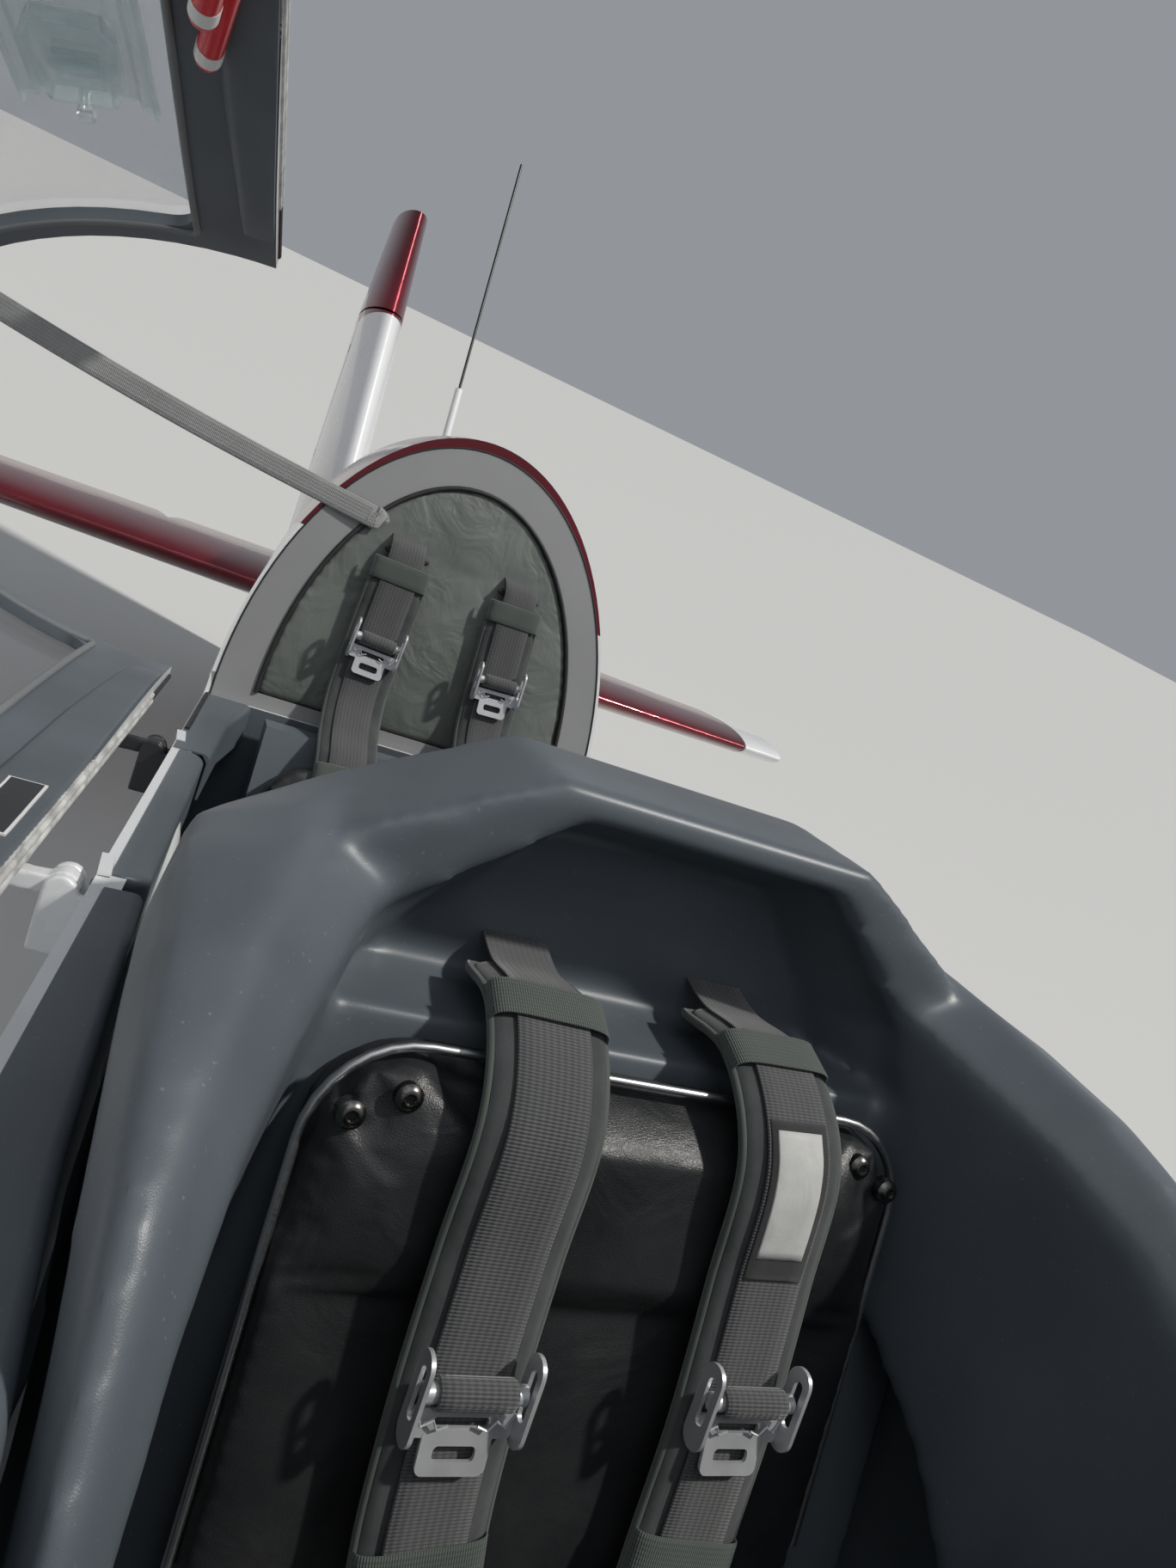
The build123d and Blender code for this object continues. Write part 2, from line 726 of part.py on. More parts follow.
def hinge_eye(plane, reach):
    """Plate and eye that reach from the fixed piece to the pin."""
    with BuildPart() as solid:
        with BuildSketch(plane.offset(-EYE_WIDTH / 2)):
            with Locations((-reach / 2, 0)):
                Rectangle(reach, 2 * EYE_RADIUS - 6)
            Circle(EYE_RADIUS)
            Circle(PIN_RADIUS + SKIN_GAP, mode=Mode.SUBTRACT)
        extrude(amount=EYE_WIDTH)
    return solid.part


# Fin and rudder ribs: height, leading edge, trailing edge, thickness
FIN_RIBS = (
    (RUDDER_BOTTOM, 5900, 6950, 130),
    (400, 5772, 6896, 140),
    (FIN_TOP, 6117, 6833, 120),
)
HORN_GAP = 7
RUDDER_HINGE_HEIGHTS = (560, 900)
HORN_RIBS = (
    (FIN_TOP + HORN_GAP, 6121, 6832, 119),
    (RUDDER_TOP, 6222, 6800, 84),
)
with BuildPart() as fin_solid:
    for height, lead, trail, thickness in FIN_RIBS:
        with BuildSketch(level_at(lead, height)):
            add(foil(trail - lead, thickness))
    loft(ruled=True)

STAB_HALF = STAB_SPAN / 2
# x, leading edge, trailing edge, thickness
STAB_RIBS = (
    (0, STAB_ROOT_STATION, ELEVATOR_ROOT_END, 120),
    (STAB_HALF, STAB_ROOT_STATION + STAB_SWEEP * STAB_HALF, ELEVATOR_TIP_END, 78),
)
with BuildPart() as stab_half:
    for x, lead, trail, thickness in STAB_RIBS:
        with BuildSketch(rib_at(x, lead, STAB_HEIGHT)):
            add(foil(trail - lead, thickness))
    loft(ruled=True)
with BuildPart() as stab_solid:
    add(stab_half.part)
    mirror(stab_half.part, about=Plane.YZ)

ELEVATOR_HINGES = (-1180, -420, 420, 1180)
ELEVATOR_NOSE_ROOT = 46
ELEVATOR_NOSE_TIP = 30
HORN_START = STAB_HALF - ELEVATOR_HORN


def elevator_nose(grow):
    """Round nose of both elevator halves about the hinge line, grown by a gap."""
    with BuildPart() as nose:
        for side in (1, -1):
            with BuildSketch(rib_at(0, ELEVATOR_HINGE, STAB_HEIGHT)):
                Circle(ELEVATOR_NOSE_ROOT + grow)
            with BuildSketch(rib_at(side * STAB_HALF, ELEVATOR_HINGE, STAB_HEIGHT)):
                Circle(ELEVATOR_NOSE_TIP + grow)
            loft(ruled=True)
    return nose.part


with BuildPart() as elevator_region:
    with BuildSketch(Plane.XY.offset(STAB_HEIGHT)):
        for side in (1, -1):
            with BuildLine():
                Polyline(
                    (side * ELEVATOR_START, ELEVATOR_HINGE - 60),
                    (side * ELEVATOR_START, ELEVATOR_HINGE + 20),
                    (side * (ELEVATOR_START + 150), ELEVATOR_ROOT_END + 20),
                    (side * (STAB_HALF + 1), ELEVATOR_ROOT_END + 20),
                    (side * (STAB_HALF + 1), ELEVATOR_HINGE - 60),
                    close=True,
                )
            make_face()
    extrude(amount=150, both=True)

HORN_FRONT = 5690
with BuildPart() as elevator_horns:
    add(stab_solid.part)
    with BuildSketch(Plane.XY.offset(STAB_HEIGHT)):
        for side in (1, -1):
            with Locations((side * (HORN_START + STAB_HALF + 1) / 2, (HORN_FRONT + 6300) / 2)):
                Rectangle(ELEVATOR_HORN + 1, 6300 - HORN_FRONT)
    extrude(amount=150, both=True, mode=Mode.INTERSECT)

with BuildPart() as elevator_skin:
    add(stab_solid.part)
    split(bisect_by=frame_at(ELEVATOR_HINGE), keep=Keep.BOTTOM)
with BuildPart() as elevator:
    add(elevator_nose(-0.5))
    add(elevator_skin.part)
    add(elevator_region.part, mode=Mode.INTERSECT)
    add(elevator_horns.part)
    with BuildSketch(rib_at(-ELEVATOR_START - 10, ELEVATOR_HINGE, STAB_HEIGHT)):
        Circle(18)
    extrude(amount=2 * ELEVATOR_START + 20)
    for x in ELEVATOR_HINGES:
        add(notch(rib_at(x, ELEVATOR_HINGE, STAB_HEIGHT), ELEVATOR_NOSE_ROOT), mode=Mode.SUBTRACT)
        add(notch_pin(rib_at(x, ELEVATOR_HINGE, STAB_HEIGHT)))

with BuildPart() as horizontal_stabilizer:
    add(stab_solid.part)
    split(bisect_by=frame_at(ELEVATOR_HINGE), keep=Keep.TOP)
    add(elevator_nose(RUNNING_GAP), mode=Mode.SUBTRACT)
    with BuildSketch(Plane.XY.offset(STAB_HEIGHT)):
        for side in (1, -1):
            with Locations((side * (HORN_START - HORN_GAP + 200), 6000)):
                Rectangle(400, 1400)
    extrude(amount=150, both=True, mode=Mode.SUBTRACT)
    for x in ELEVATOR_HINGES:
        add(hinge_eye(rib_at(x, ELEVATOR_HINGE, STAB_HEIGHT), ELEVATOR_NOSE_ROOT + 30))

finish("elevator", elevator)
finish("horizontal_stabilizer", horizontal_stabilizer)

with BuildPart() as rudder:
    add(fin_solid.part)
    split(bisect_by=frame_at(RUDDER_HINGE), keep=Keep.BOTTOM)
    with BuildSketch(level_at(RUDDER_HINGE, RUDDER_BOTTOM)):
        Circle(RUDDER_NOSE)
    extrude(amount=FIN_TOP - RUDDER_BOTTOM)
    for height, lead, trail, thickness in HORN_RIBS:
        with BuildSketch(level_at(lead, height)):
            add(foil(trail - lead, thickness))
    loft(ruled=True)
    with BuildSketch(level_at(RUDDER_HINGE, FIN_TOP)):
        with Locations((170, 0)):
            Rectangle(340, 60)
    extrude(amount=HORN_GAP)
    for height in RUDDER_HINGE_HEIGHTS:
        add(notch(level_at(RUDDER_HINGE, height), RUDDER_NOSE), mode=Mode.SUBTRACT)
        add(notch_pin(level_at(RUDDER_HINGE, height)))

with BuildPart() as rudder_cove:
    with BuildSketch(level_at(RUDDER_HINGE, RUDDER_BOTTOM - 200)):
        Circle(RUDDER_NOSE + RUNNING_GAP)
    extrude(amount=2000)
with BuildPart() as fin:
    add(fin_solid.part)
    split(bisect_by=frame_at(RUDDER_HINGE), keep=Keep.TOP)
    split(bisect_by=Plane.XY.offset(300), keep=Keep.TOP)
    add(rudder_cove.part, mode=Mode.SUBTRACT)
    add(aft_hull.part, mode=Mode.SUBTRACT)
    for height in RUDDER_HINGE_HEIGHTS:
        add(hinge_eye(level_at(RUDDER_HINGE, height), RUDDER_NOSE + 25))

with BuildPart() as tail_cone:
    add(aft_hull.part)
    split(bisect_by=frame_at(TURTLEDECK_END), keep=Keep.BOTTOM)
    add(rudder_cove.part, mode=Mode.SUBTRACT)
    add(stab_solid.part, mode=Mode.SUBTRACT)
    with BuildSketch(rib_at(-300, ELEVATOR_HINGE, STAB_HEIGHT)):
        Circle(ELEVATOR_NOSE_ROOT + RUNNING_GAP)
        with Locations((300, 0)):
            Rectangle(600, 2 * ELEVATOR_NOSE_ROOT)
    extrude(amount=600, mode=Mode.SUBTRACT)

finish("rudder", rudder)
finish("fin", fin)
finish("tail_cone", tail_cone)

# Wing: one panel a side with a full-length aileron, mirrored to starboard
WING_HALF = SPAN / 2
AILERON_END = WING_HALF - AILERON_TIP_MARGIN
WING_RISE = tan(radians(WING_DIHEDRAL))
# x, leading edge, chord, thickness
WING_RIBS = (
    (0, WING_ROOT_STATION, WING_ROOT_CHORD, 270),
    (WING_HALF, WING_TIP_STATION, WING_TIP_CHORD, 100),
)
with BuildPart() as wing_solid:
    for x, lead, chord, thickness in WING_RIBS:
        with BuildSketch(rib_at(x, lead, WING_HEIGHT + WING_RISE * x)):
            add(foil(chord, thickness))
    loft(ruled=True)
    split(bisect_by=Plane.YZ.offset(200), keep=Keep.TOP)


def aileron_hinge_at(x):
    """Point of the aileron's hinge line over a rib."""
    share = x / WING_HALF
    lead = WING_ROOT_STATION + share * (WING_TIP_STATION - WING_ROOT_STATION)
    chord = WING_ROOT_CHORD + share * (WING_TIP_CHORD - WING_ROOT_CHORD)
    return Vector(x, lead + AILERON_HINGE * chord, WING_HEIGHT + WING_RISE * x)


def aileron_nose_at(x):
    """Radius of the aileron's nose over a rib."""
    return 80 - (80 - 29) * x / WING_HALF


hinge_root = aileron_hinge_at(AILERON_START)
hinge_tip = aileron_hinge_at(AILERON_END)
aileron_span = (hinge_tip - hinge_root).length
span_dir = (hinge_tip - hinge_root).normalized()
up_dir = span_dir.cross(Vector(0, 1, 0)).normalized()
aft_dir = up_dir.cross(span_dir)
# Plane across the hinge line: x aft, y up, and its normal outboard
AILERON_PLANE = Plane(origin=hinge_root, x_dir=aft_dir, z_dir=span_dir)
AILERON_PLAN = Plane(origin=hinge_root, x_dir=span_dir, z_dir=up_dir)


AILERON_HINGES = (0.08, 0.5, 0.94)


def aileron_block(grow):
    """Everything behind the hinge line along the aileron, with its round nose."""
    with BuildPart() as block:
        with BuildSketch(AILERON_PLAN):
            with Locations((aileron_span / 2, 400)):
                Rectangle(aileron_span + 2 * grow, 800)
        extrude(amount=300, both=True)
        with BuildSketch(AILERON_PLANE.offset(-grow)):
            Circle(aileron_nose_at(AILERON_START) + grow)
        with BuildSketch(AILERON_PLANE.offset(aileron_span + grow)):
            Circle(aileron_nose_at(AILERON_END) + grow)
        loft(ruled=True)
    return block.part


with BuildPart() as aileron:
    add(aileron_block(0))
    add(wing_solid.part, mode=Mode.INTERSECT)
    for share in AILERON_HINGES:
        hinge_plane = AILERON_PLANE.offset(share * aileron_span)
        nose = aileron_nose_at(AILERON_START + share * (AILERON_END - AILERON_START))
        add(notch(hinge_plane, nose), mode=Mode.SUBTRACT)
        add(notch_pin(hinge_plane))

TIE_DOWN_SHARE = 0.575
TIE_DOWN_X = TIE_DOWN_SHARE * WING_HALF
TIE_DOWN_RADIUS = 5
TIE_DOWN_BOSS = 14
TIE_DOWN_DEPTH = 25
TIE_DOWN_STATION = 2320
TIE_DOWN_PLANE = Plane(
    origin=(TIE_DOWN_X, TIE_DOWN_STATION, WING_HEIGHT + WING_RISE * TIE_DOWN_X - 92),
    x_dir=(1, 0, 0),
    z_dir=(0, 0, -1),
)
with BuildPart() as wing_panel:
    add(wing_solid.part)
    add(aileron_block(RUNNING_GAP), mode=Mode.SUBTRACT)
    add(tub_outer.part, mode=Mode.SUBTRACT)
    for share in AILERON_HINGES:
        hinge_plane = AILERON_PLANE.offset(share * aileron_span)
        nose = aileron_nose_at(AILERON_START + share * (AILERON_END - AILERON_START))
        add(hinge_eye(hinge_plane, nose + 30))
    with BuildSketch(TIE_DOWN_PLANE):
        Circle(TIE_DOWN_BOSS)
    extrude(amount=-TIE_DOWN_DEPTH - 20)
    with BuildSketch(TIE_DOWN_PLANE):
        Circle(TIE_DOWN_RADIUS)
    extrude(amount=-TIE_DOWN_DEPTH, mode=Mode.SUBTRACT)

finish("wing_left", wing_panel)
finish("aileron_left", aileron)
with BuildPart() as wing_mirror:
    mirror(wing_panel.part, about=Plane.YZ)
finish("wing_right", wing_mirror)
with BuildPart() as aileron_mirror:
    mirror(aileron.part, about=Plane.YZ)
finish("aileron_right", aileron_mirror)

SPAR_STATION = 2240
with BuildPart() as main_spar:
    with BuildSketch(rib_at(-COCKPIT_HALF_WIDTH + WALL + 1, SPAR_STATION, FLOOR + 111)):
        Rectangle(70, 200)
    extrude(amount=2 * (COCKPIT_HALF_WIDTH - WALL - 1))
    add(tub_inner.part, mode=Mode.INTERSECT)
finish("main_spar", main_spar)

# Main gear: one flat composite spring, wheels on stub axles inside streamlined fairings
MAIN_X = MAIN_TRACK / 2
SPRING_THICKNESS = 28
SPRING_STATION = MAIN_AXLE_STATION + 60
SPRING_WIDTH = 110
SPRING_TOP = belly(SPRING_STATION) - SPRING_THICKNESS / 2 + 2
with BuildPart() as gear_spring:
    with BuildSketch(frame_at(SPRING_STATION)):
        with BuildLine(mode=Mode.PRIVATE) as bow:
            FilletPolyline(
                (-MAIN_X + 110, MAIN_AXLE_HEIGHT), (-300, SPRING_TOP), (300, SPRING_TOP),
                (MAIN_X - 110, MAIN_AXLE_HEIGHT), radius=220,
            )
        trace(bow.line, line_width=SPRING_THICKNESS)
    extrude(amount=SPRING_WIDTH)
    for side in (1, -1):
        with BuildSketch(rib_at(side * (MAIN_X - 120), MAIN_AXLE_STATION, MAIN_AXLE_HEIGHT)):
            Circle(17)
        extrude(amount=side * (120 + MAIN_TYRE_WIDTH / 2 - 6))
    add(tub_outer.part, mode=Mode.SUBTRACT)
finish("gear_spring", gear_spring)

# station from the axle, half width, half height
PANT_FRAMES = (
    (-330, 20, 24),
    (-220, 82, 118),
    (0, 104, 160),
    (250, 72, 112),
    (470, 10, 14),
)
WELL_GAP = 12
for side, side_name in ((1, "left"), (-1, "right")):
    x = side * MAIN_X
    with BuildPart() as tyre:
        tyre_plane = Plane(
            origin=(x, MAIN_AXLE_STATION, MAIN_AXLE_HEIGHT), x_dir=(0, 1, 0), z_dir=(0, 0, -1)
        )
        with BuildSketch(tyre_plane):
            with Locations(((MAIN_TYRE_RADIUS + RIM_RADIUS) / 2, 0)):
                RectangleRounded(MAIN_TYRE_RADIUS - RIM_RADIUS, MAIN_TYRE_WIDTH, 40)
        revolve(axis=Axis((x, MAIN_AXLE_STATION, MAIN_AXLE_HEIGHT), (1, 0, 0)))
    finish(f"tyre_{side_name}", tyre)
    with BuildPart() as rim:
        with BuildSketch(rib_at(x - 58, MAIN_AXLE_STATION, MAIN_AXLE_HEIGHT)):
            Circle(RIM_RADIUS - SKIN_GAP)
            Circle(17 + SKIN_GAP, mode=Mode.SUBTRACT)
        extrude(amount=116)
    finish(f"rim_{side_name}", rim)
    with BuildPart() as pant:
        for along, half, tall in PANT_FRAMES:
            with BuildSketch(frame_at(MAIN_AXLE_STATION + along)):
                with Locations((x, MAIN_AXLE_HEIGHT + 30)):
                    Ellipse(half, tall)
        loft()
        with BuildSketch(rib_at(x - MAIN_TYRE_WIDTH / 2 - WELL_GAP, MAIN_AXLE_STATION, MAIN_AXLE_HEIGHT)):
            Circle(MAIN_TYRE_RADIUS + WELL_GAP)
            with Locations((0, -200)):
                Rectangle(2 * MAIN_TYRE_RADIUS + 2 * WELL_GAP, 400)
        extrude(amount=MAIN_TYRE_WIDTH + 2 * WELL_GAP, mode=Mode.SUBTRACT)
        add(gear_spring.part, mode=Mode.SUBTRACT)
    finish(f"wheel_fairing_{side_name}", pant)

# Ground line under the tyres, which gives the parked attitude
axle_run = TAIL_AXLE_STATION - MAIN_AXLE_STATION
axle_rise = TAIL_AXLE_HEIGHT - MAIN_AXLE_HEIGHT
PARK_ANGLE = degrees(
    atan2(axle_rise, axle_run)
    + asin((MAIN_TYRE_RADIUS - TAIL_WHEEL_RADIUS) / hypot(axle_run, axle_rise))
)
plumb = (0, -sin(radians(PARK_ANGLE)), cos(radians(PARK_ANGLE)))
fore = (0, cos(radians(PARK_ANGLE)), sin(radians(PARK_ANGLE)))

# Tail wheel: leaf spring, swivelling fork and a small solid tyre
SWIVEL_LEAD = 62
swivel = Vector(0, TAIL_AXLE_STATION, TAIL_AXLE_HEIGHT) - Vector(*fore) * SWIVEL_LEAD
SWIVEL_PLANE = Plane(origin=swivel, x_dir=fore, z_dir=plumb)
HEAD_BASE = TAIL_WHEEL_RADIUS + 14
LEAF_START = 5700
LEAF_BEND = 5960
LEAF_THICKNESS = 16
LEAF_SINK = LEAF_THICKNESS / 2 - 2
with BuildPart() as tail_spring:
    head = SWIVEL_PLANE.from_local_coords(Vector(0, 0, HEAD_BASE + 21))
    with BuildSketch(Plane.YZ):
        with BuildLine(mode=Mode.PRIVATE) as leaf:
            FilletPolyline(
                (LEAF_START, belly(LEAF_START) - LEAF_SINK), (LEAF_BEND, belly(LEAF_BEND) - LEAF_SINK),
                (head.Y, head.Z), radius=260,
            )
        trace(leaf.line, line_width=LEAF_THICKNESS)
    extrude(amount=20, both=True)
    add(aft_hull.part, mode=Mode.SUBTRACT)
    with BuildSketch(SWIVEL_PLANE.offset(HEAD_BASE)):
        Circle(24)
    extrude(amount=42)
    with BuildSketch(SWIVEL_PLANE.offset(HEAD_BASE)):
        Circle(11 + SKIN_GAP)
    extrude(amount=42, mode=Mode.SUBTRACT)
finish("tail_spring", tail_spring)

FORK_GAP = 6
FORK_WALL = 6
TOW_STUB = 16
TAIL_AXLE_RADIUS = 8
TAIL_AXLE_HALF = TAIL_WHEEL_WIDTH / 2 + FORK_GAP + FORK_WALL + TOW_STUB
with BuildPart() as tail_fork:
    with BuildSketch(SWIVEL_PLANE.offset(HEAD_BASE - 1)):
        Circle(11)
    extrude(amount=46)
    with BuildSketch(SWIVEL_PLANE.offset(HEAD_BASE - 10)):
        with Locations((14, 0)):
            Rectangle(70, TAIL_WHEEL_WIDTH + 2 * FORK_GAP + 12)
    extrude(amount=9.6)
    for side in (1, -1):
        inner = side * (TAIL_WHEEL_WIDTH / 2 + FORK_GAP)
        blade = Plane(origin=swivel + Vector(inner, 0, 0), x_dir=fore, z_dir=(side, 0, 0))
        up = 1 if side < 0 else -1
        with BuildSketch(blade):
            with BuildLine():
                Polyline(
                    (-20, -up * (HEAD_BASE - 10)), (48, -up * (HEAD_BASE - 10)),
                    (SWIVEL_LEAD + 16, up * 8), (SWIVEL_LEAD - 16, up * 8), close=True,
                )
            make_face()
            with Locations((SWIVEL_LEAD, 0)):
                Circle(17)
        extrude(amount=6)
    with BuildSketch(rib_at(-TAIL_AXLE_HALF, TAIL_AXLE_STATION, TAIL_AXLE_HEIGHT)):
        Circle(TAIL_AXLE_RADIUS)
    extrude(amount=2 * TAIL_AXLE_HALF)
finish("tail_fork", tail_fork)

with BuildPart() as tail_wheel:
    with BuildSketch(rib_at(-TAIL_WHEEL_WIDTH / 2, TAIL_AXLE_STATION, TAIL_AXLE_HEIGHT)):
        Circle(TAIL_WHEEL_RADIUS)
        Circle(TAIL_AXLE_RADIUS + SKIN_GAP, mode=Mode.SUBTRACT)
    extrude(amount=TAIL_WHEEL_WIDTH)
    rounded = tail_wheel.edges().filter_by(GeomType.CIRCLE).group_by(SortBy.RADIUS)[-1]
    fillet(rounded, 16)
finish("tail_wheel", tail_wheel)

# Antenna whip on the turtledeck's crown
ANTENNA_STATION = 4680
with BuildPart() as antenna:
    with BuildSketch(Plane(origin=(0, ANTENNA_STATION, 600), z_dir=(0, 0.34, 1))):
        Circle(7)
    extrude(amount=130)
    with BuildSketch(Plane(origin=(0, ANTENNA_STATION + 42, 722), z_dir=(0, 0.34, 1))):
        Circle(2.5)
    extrude(amount=455)
    add(aft_hull.part, mode=Mode.SUBTRACT)
finish("antenna", antenna)

# Front seat: a moulded shell whose hood also shades the rear panel
HOOD_REAR = 3450
HOOD_FRONT = 3330
HOOD = ((-313, 252), (-228, 314), (-124, 372), (124, 372), (228, 314), (313, 252))


SEAT_TOP = -280
SEAT_THICKNESS = 20
FRONT_BACK_FOOT = (3220, SEAT_TOP - SEAT_THICKNESS)
FRONT_BACK_HEAD = (HOOD_FRONT, 200)


def hood_outline(inset):
    """Bell-shaped outline of the hood, drawn in by the inset."""
    points = [(x - (inset if x > 0 else -inset), z - inset) for x, z in HOOD]
    with BuildSketch() as outline:
        with BuildLine():
            Polyline((-HOOD[-1][0] + inset, -40), *points, (HOOD[-1][0] - inset, -40), close=True)
        make_face()
    return outline.sketch


# station, then outer foot, shoulder, outer top, ridge, crest, inner edge and inner foot
EAR_FRAMES = (
    (HOOD_REAR, (305, 100), (308, 168), (311, 215), (300, 262), (228, 313), (140, 360), (150, 100)),
    (3370, (316, 100), (319, 168), (322, 235), (315, 284), (250, 310), (185, 295), (215, 80)),
    (3300, (318, 60), (321, 168), (330, 240), (321, 285), (262, 302), (216, 272), (240, 60)),
    (3220, (318, 0), (321, 168), (332, 230), (323, 277), (284, 286), (248, 254), (268, 0)),
    (3150, (318, -80), (321, 168), (332, 215), (323, 262), (297, 262), (272, 228), (288, -80)),
    (3090, (318, -150), (321, 160), (330, 180), (322, 232), (306, 228), (286, 190), (296, -150)),
    (3030, (317, -200), (320, 90), (327, 110), (321, 165), (310, 162), (294, 118), (302, -200)),
    (2970, (316, -250), (319, -10), (325, 10), (320, 58), (311, 54), (298, 16), (304, -250)),
    (2920, (315, -290), (319, -125), (324, -110), (320, -65), (312, -69), (300, -105), (305, -290)),
)
BOWL_REAR = 3405
BOWL_TUNNEL = 3422
# station, half width at the bottom, half width and height at the corner, and at the top
BOWL_FRAMES = (
    (HOOD_FRONT - 140, 222, 204, 266, 98, 354),
    (3345, 222, 204, 262, 98, 350),
    (BOWL_REAR, 190, 165, 236, 85, 325),
)
BOWL_BOTTOM = 206

with BuildPart() as front_bowl:
    for station, foot, corner, corner_height, top, top_height in BOWL_FRAMES:
        with BuildSketch(frame_at(station)):
            with BuildLine():
                Polyline(
                    (-foot, BOWL_BOTTOM), (-corner, corner_height), (-top, top_height),
                    (top, top_height), (corner, corner_height), (foot, BOWL_BOTTOM), close=True,
                )
            make_face()
    loft(ruled=True)

with BuildPart() as seat_ear:
    for station, *corners in EAR_FRAMES:
        with BuildSketch(frame_at(station)):
            with BuildLine():
                Polyline(*corners, close=True)
            make_face()
    loft(ruled=True)

with BuildPart() as front_seat_shell:
    with BuildSketch(frame_at(HOOD_REAR)):
        add(hood_outline(0))
    extrude(amount=HOOD_REAR - HOOD_FRONT)
    add(seat_ear.part)
    add(mirror(seat_ear.part, Plane.YZ))
    with BuildSketch(frame_at(HOOD_REAR)):
        add(hood_outline(SHELL_WALL))
    extrude(amount=HOOD_REAR - BOWL_TUNNEL, mode=Mode.SUBTRACT)
    with BuildSketch(frame_at(BOWL_TUNNEL)):
        with Locations((0, 60)):
            Rectangle(2 * (HOOD[-1][0] - SHELL_WALL), 250)
    extrude(amount=BOWL_TUNNEL - HOOD_FRONT - 30, mode=Mode.SUBTRACT)
    add(front_bowl.part, mode=Mode.SUBTRACT)
    with BuildSketch(Plane.YZ):
        with BuildLine():
            Polyline(
                FRONT_BACK_FOOT, (FRONT_BACK_FOOT[0] + SEAT_THICKNESS, FRONT_BACK_FOOT[1]),
                (HOOD_FRONT + SHELL_WALL, FRONT_BACK_HEAD[1]), FRONT_BACK_HEAD, close=True,
            )
        make_face()
    extrude(amount=HOOD[-1][0], both=True)
    with BuildSketch(Plane.XY.offset(SEAT_TOP - SEAT_THICKNESS)):
        with Locations((0, (2760 + 3240) / 2)):
            Rectangle(500, 3240 - 2760)
    extrude(amount=SEAT_THICKNESS)
    for side in (1, -1):
        with BuildSketch(Plane.XY.offset(FLOOR + FLOOR_THICKNESS)):
            with Locations((side * 200, 3000)):
                Rectangle(20, 420)
        extrude(amount=130)
finish("front_seat_shell", front_seat_shell)

BACK_CUSHION = 45


def back_plane(foot, head, height):
    """Plane on the front of a seat's back, a skin gap clear of it, x to port and y up the back."""
    lean = (head[0] - foot[0]) / (head[1] - foot[1])
    station = foot[0] + lean * (height - foot[1])
    plane = Plane(origin=(0, station, height), x_dir=(1, 0, 0), z_dir=(0, -1, lean))
    return plane.offset(SKIN_GAP)


FRONT_BACK = back_plane(FRONT_BACK_FOOT, FRONT_BACK_HEAD, -270)
with BuildPart() as front_seat_cushions:
    with BuildSketch(Plane.XY.offset(SEAT_TOP + SKIN_GAP)):
        with Locations((0, 2970)):
            RectangleRounded(440, 400, 40)
    extrude(amount=70)
    with BuildSketch(FRONT_BACK):
        with Locations((0, 250)):
            RectangleRounded(430, 450, 60)
    extrude(amount=BACK_CUSHION)
finish("front_seat_cushions", front_seat_cushions)

REAR_SEAT_HALF = 200
REAR_SEAT_FRONT = 3600
REAR_SEAT_END = 4040
REAR_BACK_FOOT = (4020, SEAT_TOP - SEAT_THICKNESS)
REAR_BACK_HEAD = (4140, 165)
with BuildPart() as rear_seat_shell:
    with BuildSketch(Plane.XY.offset(SEAT_TOP - SEAT_THICKNESS)):
        with Locations((0, (REAR_SEAT_FRONT + REAR_SEAT_END) / 2)):
            Rectangle(2 * REAR_SEAT_HALF, REAR_SEAT_END - REAR_SEAT_FRONT)
    extrude(amount=SEAT_THICKNESS)
    with BuildSketch(Plane.YZ):
        with BuildLine():
            Polyline(
                REAR_BACK_FOOT, (REAR_BACK_FOOT[0] + 40, REAR_BACK_FOOT[1]),
                (REAR_BACK_HEAD[0] + 40, REAR_BACK_HEAD[1]), REAR_BACK_HEAD, close=True,
            )
        make_face()
    extrude(amount=REAR_SEAT_HALF, both=True)
    for side in (1, -1):
        with BuildSketch(Plane.XY.offset(FLOOR + FLOOR_THICKNESS)):
            with Locations((side * 170, 3780)):
                Rectangle(20, 340)
        extrude(amount=SEAT_TOP - SEAT_THICKNESS - FLOOR - FLOOR_THICKNESS)
finish("rear_seat_shell", rear_seat_shell)

REAR_BACK = back_plane(REAR_BACK_FOOT, REAR_BACK_HEAD, -190)
with BuildPart() as rear_seat_cushions:
    with BuildSketch(Plane.XY.offset(SEAT_TOP + SKIN_GAP)):
        with Locations((0, 3790)):
            RectangleRounded(370, 380, 40)
    extrude(amount=70)
    with BuildSketch(REAR_BACK):
        with Locations((0, 165)):
            RectangleRounded(370, 330, 60)
    extrude(amount=BACK_CUSHION)
finish("rear_seat_cushions", rear_seat_cushions)

# Grey inner panels along the sills, in a front and a rear length
SILL_PANEL_BOTTOM = 60
# station and half width of the inner face
FRONT_PANEL_LINE = ((2650, 335), (TAPER_START, 335), (3500, 318))
REAR_PANEL_LINE = ((3540, half_width(3540) - WALL - 16), (3900, half_width(3900) - WALL - 16))
for side, side_name in ((1, "left"), (-1, "right")):
    with BuildPart() as sill_panel:
        for line in (FRONT_PANEL_LINE, REAR_PANEL_LINE):
            outer = [(half_width(station) - WALL - SKIN_GAP, station) for station, half in line]
            inner = [(half, station) for station, half in line]
            with BuildSketch(Plane.XY.offset(SILL_PANEL_BOTTOM)):
                with BuildLine():
                    Polyline(*[(side * x, y) for x, y in outer + inner[::-1]], close=True)
                make_face()
            extrude(amount=SILL - SILL_PANEL_BOTTOM)
    finish(f"sill_panel_{side_name}", sill_panel)

